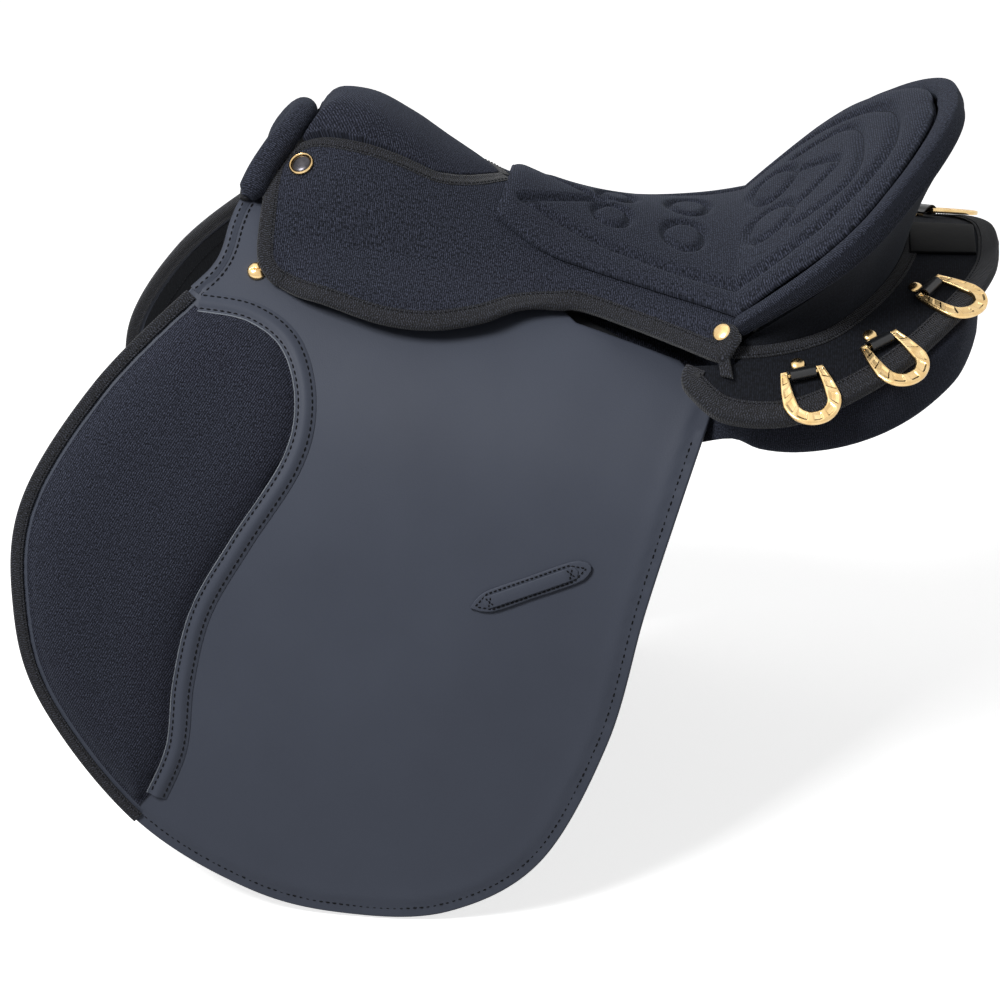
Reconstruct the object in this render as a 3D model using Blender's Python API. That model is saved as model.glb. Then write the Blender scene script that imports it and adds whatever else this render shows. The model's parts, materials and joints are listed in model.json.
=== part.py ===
"""Trail saddle: synthetic seat, flaps and skirts that lift, hanging billets and six gear rings.

The front of the saddle points to -X, its left (near) side to -Y, and +Z is up. The origin lies on
the crest of the horse's back, under the middle of the seat. The design sizes are in millimetres
and the meshes in metres.

Three master surfaces carry every piece. The seat surface is the outside of the seat cover, given
as (x, v, h): v runs across the seat, reaches SEAT_HALF at the fold where the skirt starts and goes
on down the skirt. The flank surface is the inner face of the flap, given as (x, s, h), where s is
the distance down it. The apron surface is the top of the rear skirt, given as (x, y, h). The last
value is always the height above that surface.
"""
import math
from bisect import bisect_right

import bmesh
import bpy
from mathutils import Vector
from mathutils.geometry import delaunay_2d_cdt

MM = 0.001
SIDES = (("left", -1.0), ("right", 1.0))
GAP = 0.3
LAYER_GAP = 1.0
PAD_GAP = 1.2

# Flank surface: the side section starts by the fold and steepens on its way down.
FLANK_TOP_Y = 84.0
FLANK_TOP_Z = 34.0
FLANK_SLOPE_TOP = 47.0
FLANK_SLOPE_LOW = 88.0
FLANK_BEND = 190.0
FLANK_HIGHEST = -90.0
FLANK_LOWEST = 560.0
WAIST_TAPER = 0.15
WAIST_START_X = -310.0
WAIST_FADE = 90.0

# Seat surface: crest heights along the centre line, and the fold line along the sides.
SEAT_HALF = 100.0
SKIRT_STAND = 12.0
FOLD_FRONT_X = -246.0
FOLD_FRONT_S = -8.0
FOLD_FALL = 0.19
FLARE_START_X = -75.0
FLARE_OUT = 58.0
FLARE_UP = 11.0
CREST = ((-264, 86), (-240, 100), (-205, 107), (-175, 100), (-150, 88), (-110, 70), (-60, 52), (0, 38),
         (40, 34), (70, 42), (105, 68), (140, 95), (175, 121), (200, 139))
SHOULDER = ((-264, 2.3), (-195, 2.5), (-110, 2.0), (-40, 1.8), (58, 1.9))

# Cantle: the rim's distance from the lowest point of the seat, by angle from the rear.
CANTLE_X = 58.0
CANTLE_TOP_X = 200.0
TREE_LOW_REAR_X = 85.0
RIM_RADIUS = ((0, 142), (29, 147), (48, 155), (60, 163), (70, 162), (80, 151), (90, 139))
RIM_LAST_ANGLE = 85
RIM_ANGLE_STEP = 8.5

# Apron surface: the rear skirt falls away from the centre line.
APRON_FRONT_X = 40.0
APRON_TOP = 34.0
APRON_FALL = 0.0018

# Layers, measured down from the seat surface.
COVER_THICK = 4.0
FOAM_THICK = 7.7
TREE_THICK = 7.7
GULLET_THICK = 4.0
GULLET_PLATE_X = (-244, -206)
GULLET_PLATE_HALF = 135
APRON_THICK = 6.0

# Layers, measured out from the flank surface.
FLAP_THICK = 4.0
SWEAT_THICK = 3.0
BILLET_THICK = 3.5
BILLET_WIDTH = 25.0
BILLET_CLEARANCE = 1.0

# Cantle roll and wall
ROLL_RADIUS = 11.0
ROLL_END_RADIUS = 6.0
WALL_THICK = 4.0
WALL_END_ANGLE = 78.0
WALL_FOOT = ((0, 108), (21, 111), (40, 118), (54, 125), (63, 130), (72, 132), (90, 134))

# Pommel roll
POMMEL_ROLL_RADIUS = 8.5
POMMEL_ROLL_HALF = 76.0
POMMEL_ROLL_STEP = 9.0
POMMEL_ROLL_X = ((0, -247), (25, -250.5), (45, -259), (62, -270), (76, -272.5))
POMMEL_ROLL_H = ((0, 8.5), (25, 8.8), (45, 9), (62, 5), (76, 0))
POMMEL_FRONT_X = -262.0

# Channel over the horse's spine, and the panels beside it
CHANNEL_HALF = 30.0
PANEL_DEPTH_S = 115.0
PANEL_BELLY = 5.0
PANEL_HALF = ((56, 140), (72, 154), (95, 163), (122, 162), (150, 152), (175, 135), (195, 112), (208, 90),
              (216, 60))
PANEL_LOW = ((-240, -45), (-120, -52), (45, -60), (72, -70), (100, -66), (140, -56), (175, -42), (200, -27),
             (216, -12))
PANEL_INNER_LOW = ((-240, 38), (-160, 22), (-80, 6), (20, -4), (216, -4))

# Stirrup bars
BAR_S = 34.0
BAR_WIDTH = 12.0
BAR_THICK = 3.6
BAR_STANDOFF = 1.2
BAR_FRONT_X = -170.0
BAR_REAR_X = -92.0
BAR_FOOT_X = -214.0
BAR_FOOT_THICK = 3.0

# Gear rings: place of each ring's bar on the apron, and the point its closed end reaches.
RING_PLACES = (
    ("front", (101, 156), (114, 190)),
    ("middle", (150, 130), (176, 160)),
    ("rear", (182, 79), (217, 98)),
)
RING_OUTER_RADIUS = 20.5
RING_INNER_RADIUS = 10.4
RING_OUTER_END = 15.5
RING_INNER_END = 10.0
RING_ARM_LENGTH = 20.0
RING_THICK = 3.0
RING_BAR_HALF = 2.0
STRAP_WIDTH = 18.0
STRAP_THICK = 1.2
STRAP_EYE_RADIUS = 2.8
STRAP_TAIL = 15.0
RIVET_RADIUS = 4.7
RIVET_HEIGHT = 3.4

# Studs and badges
STUD_RADIUS = 6.3
STUD_HEIGHT = 4.2
REAR_STUD_HEIGHT = 2.9
DOME = ((1, 0), (0.97, 0.35), (0.75, 0.75), (0.35, 1))
BADGE_PLACE = (-239, 58)
FRONT_STUD_PLACE = (-264, 15)
REAR_STUD_PLACE = (48, 104)
BADGE_RADIUS = 8.5
BADGE_HEIGHT = 2.4

# Webbing that binds an edge
BINDING_WIDTH = 9.0
BINDING_THICK = 0.9
BINDING_OUT = 1.6
BINDING_GAP = 0.6

# Flap fold line, where the flap bends to lift
FLAP_FOLD_FRONT = (-308.0, 28.0)
FLAP_FOLD_REAR = (43.0, 101.0)


def steps(start, end, spacing):
    """Evenly spaced values from start to end, both included."""
    return spread(start, end, max(1, round(abs(end - start) / spacing)))


def spread(start, end, parts):
    """Values from start to end in equal parts, both included."""
    return [start + (end - start) * k / parts for k in range(parts + 1)]


def hermite(start, end, start_rate, end_rate, t):
    """Value at t of the cubic that runs from start to end with the given rates."""
    return (((2 * t - 3) * t * t + 1) * start + (3 - 2 * t) * t * t * end
            + ((t - 2) * t + 1) * t * start_rate + (t - 1) * t * t * end_rate)


def curve(points, x):
    """Height of the smooth curve through the (x, height) points."""
    xs = [point[0] for point in points]
    last = len(points) - 1
    x = min(max(x, xs[0]), xs[-1])
    i = min(max(bisect_right(xs, x) - 1, 0), last - 1)

    def rate(k):
        before, after = points[max(k - 1, 0)], points[min(k + 1, last)]
        return (after[1] - before[1]) / (after[0] - before[0])

    span = xs[i + 1] - xs[i]
    return hermite(points[i][1], points[i + 1][1], rate(i) * span, rate(i + 1) * span, (x - xs[i]) / span)


def through(points, spacing):
    """Points along a smooth open curve through the given 2-D points."""
    result = []
    last = len(points) - 1
    for i in range(last):
        before, start, end, after = points[max(i - 1, 0)], points[i], points[i + 1], points[min(i + 2, last)]
        count = max(1, round(math.dist(start, end) / spacing))
        rates = [((end[c] - before[c]) / 2, (after[c] - start[c]) / 2) for c in (0, 1)]
        for t in (k / count for k in range(count)):
            result.append(tuple(hermite(start[c], end[c], *rates[c], t) for c in (0, 1)))
    return result + [tuple(map(float, points[-1]))]


def both_sides(half):
    """Closed outline from its right half, which starts and ends on the centre line."""
    return list(half) + [(x, -v) for x, v in reversed(half) if abs(v) > 1e-6]


def flank_slope(s):
    """Slope of the side section, in radians below the level."""
    return math.radians(FLANK_SLOPE_LOW - (FLANK_SLOPE_LOW - FLANK_SLOPE_TOP) * math.exp(-s / FLANK_BEND))


def side_section():
    """Points (s, y, z) of the side section, one each millimetre, from top to bottom."""
    up = [(0.0, FLANK_TOP_Y, FLANK_TOP_Z)]
    while up[-1][0] > FLANK_HIGHEST:
        s, y, z = up[-1]
        angle = flank_slope(s - 0.5)
        up.append((s - 1, y - math.cos(angle), z + math.sin(angle)))
    down = [up[0]]
    while down[-1][0] < FLANK_LOWEST:
        s, y, z = down[-1]
        angle = flank_slope(s + 0.5)
        down.append((s + 1, y + math.cos(angle), z - math.sin(angle)))
    return up[:0:-1] + down


SIDE_SECTION = side_section()


def flank_base(x, s):
    """Point of the right flank surface: narrower at the horse's waist, most of all near the top."""
    place = s - SIDE_SECTION[0][0]
    i = min(max(int(place), 0), len(SIDE_SECTION) - 2)
    part = place - i
    (_, y0, z0), (_, y1, z1) = SIDE_SECTION[i], SIDE_SECTION[i + 1]
    taper = WAIST_TAPER * max(0.0, x - WAIST_START_X) * math.exp(-(max(s, 0.0) / WAIST_FADE) ** 2)
    return Vector((x, y0 + part * (y1 - y0) - taper, z0 + part * (z1 - z0)))


def raised(base, a, b, height, outward):
    """Point of a surface at (a, b), moved out along its normal."""
    along = base(a + 1, b) - base(a - 1, b)
    across = base(a, b + 1) - base(a, b - 1)
    normal = along.cross(across).normalized()
    if normal.dot(outward) < 0:
        normal.negate()
    return base(a, b) + normal * height


def flank_point(x, s, h):
    """Point above the right flank surface."""
    return raised(flank_base, x, s, h, Vector((0, 1, 0.5)))


def flank(side):
    """Flank surface of one side of the saddle."""
    def place(x, s, h):
        point = flank_point(x, s, h)
        return Vector((point.x, side * point.y, point.z))
    return place


def fold_s(x):
    """Where the skirt's fold line lies on the flank."""
    return FOLD_FRONT_S + FOLD_FALL * (x - FOLD_FRONT_X)


def hem(x, down):
    """Point (y, z) of the skirt, the given distance below its fold."""
    point = flank_point(x, fold_s(x) + down, SKIRT_STAND)
    flare = min(max((x - FLARE_START_X) / (CANTLE_X - FLARE_START_X), 0.0), 1.0)
    flare = flare * flare * (1.6 - 0.6 * flare)
    return point.y + FLARE_OUT * flare, point.z + FLARE_UP * flare


def section_height(x, share):
    """Height of the seat's cross-section, from the crest (0) to the fold (1)."""
    top = curve(CREST, x)
    return top + (hem(x, 0)[1] - top) * share ** curve(SHOULDER, x)


def seat_base(x, v):
    """Point of the seat surface, including the dish of the cantle."""
    across = abs(v)
    side = -1.0 if v < 0 else 1.0
    if x <= CANTLE_X:
        if across > SEAT_HALF:
            y, z = hem(x, across - SEAT_HALF)
            return Vector((x, side * y, z))
        share = across / SEAT_HALF
        return Vector((x, side * hem(x, 0)[0] * share, section_height(x, share)))
    y = hem(CANTLE_X, 0)[0] * across / SEAT_HALF
    angle = math.degrees(math.atan2(y, x - CANTLE_X))
    rim = curve(RIM_RADIUS, angle)
    share = min(math.hypot(x - CANTLE_X, y) / rim, 1.0)
    rearward = rim * math.cos(math.radians(angle)) / (CANTLE_TOP_X - CANTLE_X)
    rear_height = curve(CREST, CANTLE_X + (CANTLE_TOP_X - CANTLE_X) * share)
    return Vector((x, side * y, section_height(CANTLE_X, share) * (1 - rearward) + rear_height * rearward))


def seat(x, v, h):
    """Point above the seat surface."""
    return raised(seat_base, x, v, h, Vector((0, 0, 1)))


def seat_side(side):
    """Seat surface with v counted from the centre towards one side."""
    def place(x, v, h):
        point = seat(x, abs(v), h)
        return Vector((point.x, side * point.y, point.z))
    return place


def rim_flat(angle, inset):
    """Place (x, v) near the cantle rim, by angle from the rear and inset from the rim."""
    radius = curve(RIM_RADIUS, abs(angle)) - inset
    turn = math.radians(angle)
    return CANTLE_X + radius * math.cos(turn), radius * math.sin(turn) * SEAT_HALF / hem(CANTLE_X, 0)[0]


def rim_place(angle, inset, h):
    """Point near the cantle rim, at a height above the seat."""
    return seat(*rim_flat(angle, inset), h)


def rim_outline(inset):
    """Right half of an outline (x, v) that follows the rim, from the side to the rear."""
    return [rim_flat(angle, inset) for angle in steps(RIM_LAST_ANGLE, 0, RIM_ANGLE_STEP)]


def apron_base(x, y):
    """Point of the apron surface."""
    return Vector((x, y, APRON_TOP - APRON_FALL * y * y))


def apron(x, y, h):
    """Point above the apron surface."""
    return raised(apron_base, x, y, h, Vector((0, 0, 1)))


def lattice(columns, rows):
    """Lines of a grid along and across a surface."""
    return [[(x, row) for x in columns] for row in rows] + [[(x, row) for row in rows] for x in columns]


def braced(columns, rows):
    """Lines of a grid with its diagonals, so that stacked layers are cut into the same facets."""
    lines = lattice(columns, rows)
    for shift in range(1 - len(rows), len(columns)):
        line = [(columns[i + shift], rows[i]) for i in range(len(rows)) if 0 <= i + shift < len(columns)]
        if len(line) > 1:
            lines.append(line)
    return lines


def height_of(value, x, v):
    """A height that is a number, or a function of the place."""
    return value(x, v) if callable(value) else value


def anticlockwise(outline):
    """The same closed outline, running anticlockwise."""
    following = [*outline[1:], outline[0]]
    area = sum(a[0] * b[1] - b[0] * a[1] for a, b in zip(outline, following))
    return list(outline) if area > 0 else list(reversed(outline))


def sheet(outline, place, low, high, creases=()):
    """Closed solid between two heights above a surface, cut to a flat outline."""
    outline = anticlockwise(outline)
    count = len(outline)
    points = [Vector(point) for point in outline]
    edges = []
    for line in creases:
        start = len(points)
        points.extend(Vector(point) for point in line)
        edges.extend((start + k, start + k + 1) for k in range(len(line) - 1))
    flat, _, triangles, _, _, owners = delaunay_2d_cdt(points, edges, [list(range(count))], 1, 1e-3)
    triangles = [triangle for triangle, owner in zip(triangles, owners) if 0 in owner]
    used = sorted({corner for triangle in triangles for corner in triangle})
    number = {old: new for new, old in enumerate(used)}
    size = len(used)
    top = [place(flat[i].x, flat[i].y, height_of(high, flat[i].x, flat[i].y)) for i in used]
    bottom = [place(flat[i].x, flat[i].y, height_of(low, flat[i].x, flat[i].y)) for i in used]
    faces = [tuple(number[corner] for corner in triangle) for triangle in triangles]
    sides = {(face[k], face[(k + 1) % 3]) for face in faces for k in range(3)}
    faces += [tuple(size + corner for corner in reversed(face)) for face in faces]
    faces += [(b, a, a + size, b + size) for a, b in sorted(sides) if (b, a) not in sides]
    return top + bottom, faces


def skin(rings, closed=False):
    """Solid whose sides join each ring of points to the next, with capped ends or closed in a loop."""
    points = [point for ring in rings for point in ring]
    size, count = len(rings[0]), len(rings)
    faces = []
    for k in range(count if closed else count - 1):
        this, following = k * size, (k + 1) % count * size
        for i in range(size):
            j = (i + 1) % size
            faces.append((this + i, this + j, following + j, following + i))
    if not closed:
        faces.append(tuple(range(size)))
        faces.append(tuple(range(len(points) - size, len(points))))
    return points, faces


def turned(profile, origin, across, along, up, sides=12):
    """Solid of revolution about the up direction, from (radius, height) pairs that end on the axis."""
    rings = []
    for radius, height in profile:
        rings.append([origin + up * height + (across * math.cos(turn) + along * math.sin(turn)) * radius
                      for turn in (2 * math.pi * k / sides for k in range(sides))])
    return skin(rings)


def offset_path(path, distance):
    """Path moved sideways, to the left of its direction."""
    result = []
    for i, point in enumerate(path):
        before, after = path[max(i - 1, 0)], path[min(i + 1, len(path) - 1)]
        dx, dy = after[0] - before[0], after[1] - before[1]
        length = math.hypot(dx, dy)
        result.append((point[0] - dy / length * distance, point[1] + dx / length * distance))
    return result


def bound_edge(path, place, low, high, outward):
    """Folded webbing round a free edge, as a channel section carried along the edge."""
    out, width = BINDING_OUT, BINDING_WIDTH
    top, bottom = high + BINDING_GAP, low - BINDING_GAP
    outer_top, outer_bottom = top + BINDING_THICK, bottom - BINDING_THICK
    section = ((-width, top), (-width, outer_top), (out, outer_top), (out, outer_bottom),
               (-width, outer_bottom), (-width, bottom), (BINDING_GAP, bottom), (BINDING_GAP, top))
    lines = [offset_path(path, outward * across) for across, _ in section]
    rings = [[place(*line[i], h) for line, (_, h) in zip(lines, section)] for i in range(len(path))]
    return skin(rings)


def strip_outline(path, width):
    """Closed outline of an even strip along a path."""
    return offset_path(path, width / 2) + list(reversed(offset_path(path, -width / 2)))


def finish(name, colour, roughness, metallic=0.0):
    """Plain material with the colour, roughness and metallic value of the real one."""
    material = bpy.data.materials.new(name)
    material.use_nodes = True
    shader = material.node_tree.nodes["Principled BSDF"]
    shader.inputs["Base Color"].default_value = (*colour, 1.0)
    shader.inputs["Roughness"].default_value = roughness
    shader.inputs["Metallic"].default_value = metallic
    return material


def hinge(name, point):
    """Empty on a joint's axis, which carries the pieces that move there."""
    empty = bpy.data.objects.new(name, None)
    empty.location = point * MM
    empty.empty_display_size = 0.02
    bpy.context.collection.objects.link(empty)
    return empty


def add_piece(name, shape, material, carrier=None):
    """Named object from a shape in millimetres, carried by a hinge where it moves."""
    points, faces = shape
    origin = carrier.location.copy() if carrier else Vector((0, 0, 0))
    mesh = bpy.data.meshes.new(name)
    mesh.from_pydata([point * MM - origin for point in points], [], faces)
    work = bmesh.new()
    work.from_mesh(mesh)
    bmesh.ops.recalc_face_normals(work, faces=work.faces)
    work.to_mesh(mesh)
    work.free()
    mesh.shade_smooth()
    mesh.set_sharp_from_angle(angle=math.radians(35))
    mesh.materials.append(material)
    piece = bpy.data.objects.new(name, mesh)
    bpy.context.collection.objects.link(piece)
    piece.parent = carrier
    return piece


def mirrored(values):
    """Values on both sides of zero, in order."""
    return [-value for value in reversed(values)] + [0] + list(values)


# Facet grids shared by the layers of each master surface
SEAT_COLUMNS = steps(-281, -121, 20) + steps(-121, 59, 30)[1:] + steps(59, 215, 22)[1:]
SEAT_ROWS = mirrored((19, 38, 56, 72, 87, 101, 117, 135, 153, 171))
SEAT_GRID = braced(SEAT_COLUMNS, SEAT_ROWS)
PAD_GRID = lattice(SEAT_COLUMNS, SEAT_ROWS)
FLANK_GRID = braced(steps(-440, 60, 62), (-60, -30, 0, 30, 60, 90, 125, 165, 215, 275, 345, 460))
APRON_GRID = braced((0, 240), mirrored((32, 65, 98, 130, 160, 190)))


# Border between the pommel cushion and the seat cover, from the centre line to the front corner
POMMEL_BORDER = ((-110, 0), (-117, 14), (-128, 32), (-141, 44), (-156, 50), (-200, 49), (-232, 38), (-248, 39),
                 (-258, 48), (POMMEL_FRONT_X, 62))


def border(outset):
    """The pommel cushion's border, moved out from the cushion."""
    path = through(POMMEL_BORDER, 16)
    moved = offset_path(path, -outset)
    return [(moved[0][0], 0.0)] + moved[1:-1] + [(POMMEL_FRONT_X, moved[-1][1])]


def seat_half_outline(rim_inset, fold_inset, border_outset, front_x):
    """Right half of a seat layer that stops at the fold and round the rim."""
    front = [point for point in border(border_outset) if point[0] > front_x + 2]
    fold = SEAT_HALF - fold_inset
    rim = rim_outline(rim_inset)
    return front + [(front_x, front[-1][1] + 1), (front_x, fold), (20, fold), (47, fold - 5)] + rim


def make_seat_cover(fabric):
    """Padded seat fabric, with the fixed part of the skirt in front of and behind the lifting part."""
    front_x, rear_x = SKIRT_FRONT_X - SKIRT_END_GAP, SKIRT_REAR_X + SKIRT_END_GAP
    front_lip = [(POMMEL_FRONT_X, 113), (-259, 124), (-252, 132), (front_x, 134.5), (front_x, SEAT_HALF)]
    rear_lip = [(rear_x, SEAT_HALF), (rear_x, 114), (-15, 116), (20, 118), (44, 119), (51, 116), (55.5, 108),
                (56.5, 100), (56.5, 90)]
    half = border(GAP) + front_lip + rear_lip + rim_outline(ROLL_RADIUS + 9)
    shape = sheet(both_sides(half), seat, -COVER_THICK, 0, SEAT_GRID)
    return add_piece("seat_cover", shape, fabric)


def make_seat_foam(foam):
    """Foam between the seat cover and the tree."""
    half = seat_half_outline(ROLL_RADIUS + 12, 3, 4, POMMEL_FRONT_X + 7)
    high = -COVER_THICK - LAYER_GAP
    shape = sheet(both_sides(half), seat, high - FOAM_THICK, high, SEAT_GRID)
    return add_piece("seat_foam", shape, foam)


def make_tree(plastic):
    """Moulded tree: pommel arch with its points, seat and cantle, cut back behind the stirrup bars."""
    top = TREE_TOP
    front_x = POMMEL_FRONT_X + 8
    point_low = 52.0
    notch = 108.0
    half = [(front_x, 0), (front_x, SEAT_HALF + 42), (front_x + 8, SEAT_HALF + point_low)]
    half += [(BAR_FRONT_X - 6, SEAT_HALF + point_low - 16), (BAR_FRONT_X + 2, notch + 4)]
    half += [(BAR_REAR_X + 6, notch - 4), (BAR_REAR_X + 10, notch + 8), (-45, SEAT_HALF + 8), (0, 94), (42, 86)]
    half += rim_outline(ROLL_RADIUS + 13)
    shape = sheet(both_sides(half), seat, top - TREE_THICK, top, SEAT_GRID)
    return add_piece("tree", shape, plastic)


def make_gullet_plate(steel):
    """Steel arch under the pommel, which sets how wide the tree is."""
    top = TREE_TOP - TREE_THICK - LAYER_GAP
    front_x, rear_x = GULLET_PLATE_X
    outline = [(front_x, -GULLET_PLATE_HALF), (rear_x, -GULLET_PLATE_HALF), (rear_x, GULLET_PLATE_HALF),
               (front_x, GULLET_PLATE_HALF)]
    shape = sheet(outline, seat, top - GULLET_THICK, top, SEAT_GRID)
    return add_piece("gullet_plate", shape, steel)


def edge_distance(x, v, outline):
    """Distance from a place to the nearest edge of a closed outline."""
    best = 1e9
    for i, start in enumerate(outline):
        end = outline[(i + 1) % len(outline)]
        dx, dv = end[0] - start[0], end[1] - start[1]
        length = dx * dx + dv * dv
        t = min(max(((x - start[0]) * dx + (v - start[1]) * dv) / length, 0.0), 1.0) if length else 0.0
        best = min(best, math.hypot(x - start[0] - t * dx, v - start[1] - t * dv))
    return best


def swell(distance, reach):
    """Share of the crown reached at a distance from the sewn edge."""
    inside = min(distance / reach, 1.0)
    return math.sqrt(1 - (1 - inside) ** 2)


def make_pommel_cushion(fabric):
    """Crowned cushion over the head of the tree, framed by the seat cover's bound border."""
    front = [(curve(POMMEL_ROLL_X, v) + POMMEL_ROLL_RADIUS + GAP, v) for v in (34, 17, 0)]
    half = [(-112, 0)] + [point for point in border(-GAP)[1:] if point[0] > front[0][0]] + front
    outline = both_sides(half)
    crown_line = ((front[0][0], 16), (-225, 19), (-205, 16), (-175, 9), (-145, 4.5), (-112, 2))

    def crown(x, v):
        return 0.5 + curve(crown_line, x) * swell(edge_distance(x, v, outline), 22)

    shape = sheet(outline, seat, TREE_TOP + LAYER_GAP, crown, SEAT_GRID)
    return add_piece("pommel_cushion", shape, fabric)


# Seat pad: outline and sewn channel on the right half, from the front to the rear
PAD_SIDE = ((-109, 62), (-74, 81), (-41, 87), (0, 90), (38, 90))
PAD_RIM_INSET = ((0, 16), (30, 14), (60, 13.5), (75, 17), (85, 20))
PAD_FRONT = ((-104, 0), (-105, 24), (-108, 56))
CHANNEL_CURVE = ((-93, 39), (-75, 47), (-38, 61), (10, 69), (36, 71), (64, 74), (88, 77), (112, 74), (134, 62),
                 (149, 46), (158, 26), (161, 0))
CHANNEL_FRONT = ((-42, 0), (-58, 12), (-90, 36))
OVALS = ((-33, 22, 12, 15), (17, 26, 14, 18), (79, 27, 15, 19))
PAD_CROWN = 7.0
PAD_REACH = 60.0
CHANNEL_DEPTH = 2.4
CHANNEL_WIDTH = 7.0


def oval(centre_x, centre_v, half_x, half_v, count):
    """Closed oval line."""
    turns = [2 * math.pi * k / count for k in range(count)]
    return [(centre_x + half_x * math.cos(turn), centre_v + half_v * math.sin(turn)) for turn in turns]


def make_seat_pad(fabric):
    """Quilted seat pad: crowned, drawn in at its edge, with a sewn channel and six sewn ovals."""
    rim = [rim_flat(angle, curve(PAD_RIM_INSET, angle)) for angle in steps(80, 0, 10)]
    outline = both_sides(through(PAD_FRONT, 30) + through(list(PAD_SIDE) + rim, 20))
    channel = both_sides(through(CHANNEL_FRONT, 25) + through(CHANNEL_CURVE, 25))
    ovals = [oval(x, side * v, a, b, 8) for x, v, a, b in OVALS for side in (-1, 1)]
    half_width = CHANNEL_WIDTH / 2
    seams = [channel] + ovals

    def crown(x, v):
        to_middle = 1 - min(edge_distance(x, v, outline) / PAD_REACH, 1.0)
        rise = PAD_CROWN * (1 - to_middle ** 2)
        nearest = min(edge_distance(x, v, seam) for seam in seams)
        return PAD_GAP + 1.0 + rise - CHANNEL_DEPTH * max(0.0, 1 - nearest / half_width)

    creases = [seam + seam[:1] for seam in seams]
    creases += [offset_path(channel + channel[:1], offset) for offset in (half_width, -half_width)]
    shape = sheet(outline, seat, PAD_GAP, crown, creases + PAD_GRID)
    return add_piece("seat_pad", shape, fabric)


def make_pommel_roll(fabric):
    """Padded roll along the front of the pommel arch, a little thinner at its ends."""
    rings = []
    for v in steps(-POMMEL_ROLL_HALF, POMMEL_ROLL_HALF, POMMEL_ROLL_STEP):
        radius = POMMEL_ROLL_RADIUS * min(1.0, (POMMEL_ROLL_HALF - abs(v)) / POMMEL_ROLL_STEP + 0.6)
        x, h = curve(POMMEL_ROLL_X, abs(v)), curve(POMMEL_ROLL_H, abs(v))
        rings.append([seat(x + radius * math.cos(turn), v, h + radius * math.sin(turn))
                      for turn in (2 * math.pi * k / 10 for k in range(10))])
    return add_piece("pommel_roll", skin(rings), fabric)


def roll_radius(angle):
    """Radius of the cantle roll, drawn in at its ends."""
    end = min(max((90 - abs(angle)) / 14, 0.0), 1.0)
    return ROLL_END_RADIUS + (ROLL_RADIUS - ROLL_END_RADIUS) * end


def make_cantle_roll(fabric):
    """Padded roll round the rim of the cantle."""
    rings = []
    for angle in steps(-88, 88, 8.5):
        radius = roll_radius(angle)
        centre = rim_place(angle, radius, -radius)
        up = (rim_place(angle, radius, 1) - rim_place(angle, radius, 0)).normalized()
        out = rim_place(angle, radius - 2, 0) - rim_place(angle, radius + 2, 0)
        out = (out - up * out.dot(up)).normalized()
        rings.append([centre + (out * math.cos(turn) + up * math.sin(turn)) * radius
                      for turn in (2 * math.pi * k / 9 for k in range(9))])
    return add_piece("cantle_roll", skin(rings), fabric)


def wall_foot(angle, inset):
    """Foot of the cantle wall on the rear skirt."""
    radius = curve(WALL_FOOT, abs(angle)) - inset
    turn = math.radians(angle)
    return apron(CANTLE_X + radius * math.cos(turn), radius * math.sin(turn), GAP)


def make_cantle_back(fabric):
    """Stiff fabric wall from the rear skirt up to the cantle roll."""
    rings = []
    top_h = -2 * ROLL_RADIUS - GAP - 0.4
    for angle in steps(-WALL_END_ANGLE, WALL_END_ANGLE, 8):
        outer_top, inner_top = rim_place(angle, 10, top_h), rim_place(angle, 10 + WALL_THICK, top_h)
        outer_foot, inner_foot = wall_foot(angle, 0), wall_foot(angle, WALL_THICK)
        rings.append([outer_foot, outer_foot.lerp(outer_top, 0.5), outer_top,
                      inner_top, inner_foot.lerp(inner_top, 0.5), inner_foot])
    return add_piece("cantle_back", skin(rings), fabric)


# Rear skirt outline on the right side, from its front corner to the centre line
APRON_EDGE = ((27, 150), (25, 158), (30, 168), (52, 184), (91, 185), (128, 170), (169, 139), (205, 91),
              (224, 46), (228, 0))
APRON_INNER = ((98, 0), (97, 75), (85, 112), (71, 133), (57, 147))


def apron_edge():
    """Right half of the rear skirt's free edge, sampled."""
    return through(APRON_EDGE, 21)


def make_rear_skirt(fabric):
    """Fabric-covered board behind the seat, which carries the gear rings."""
    edge = apron_edge()
    outline = both_sides(list(APRON_INNER) + edge)
    shape = sheet(outline, apron, -APRON_THICK, 0, APRON_GRID)
    return add_piece("rear_skirt", shape, fabric)


def make_rear_binding(webbing):
    """Webbing round the free edge of the rear skirt."""
    edge = apron_edge()
    path = edge + [(x, -y) for x, y in reversed(edge[:-1])]
    return add_piece("rear_skirt_binding", bound_edge(path, apron, -APRON_THICK, 0, 1), webbing)


SPINE_STRIP = ((169, -31), (213, -29), (213, 29), (169, 31))
SPINE_STRIP_THICK = 2.0


def make_spine_strip(leather):
    """Leather strip over the middle of the rear skirt, behind the cantle."""
    low = 2 * GAP
    shape = sheet(SPINE_STRIP, apron, low, low + SPINE_STRIP_THICK, APRON_GRID)
    return add_piece("spine_strip", shape, leather)


def under_seat(x, y):
    """Height of the underside of the tree and of the rear skirt, whichever is lower."""
    station = min(x, CANTLE_X)
    line = [seat(station, v, -PANEL_UNDER_SEAT) for v in (0, 25, 45, 60, 70, 80, 90, 100, 115, 135)]
    after = next((i for i in range(1, len(line)) if line[i].y >= y), len(line) - 1)
    start, end = line[after - 1], line[after]
    tree = start.z + (end.z - start.z) * (y - start.y) / (end.y - start.y)
    if x < APRON_FRONT_X:
        return tree
    slope = math.hypot(1, 2 * APRON_FALL * y)
    skirt = APRON_TOP - APRON_FALL * y * y - PANEL_UNDER_APRON * slope
    return min(tree, skirt) if x <= TREE_LOW_REAR_X else skirt


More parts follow.
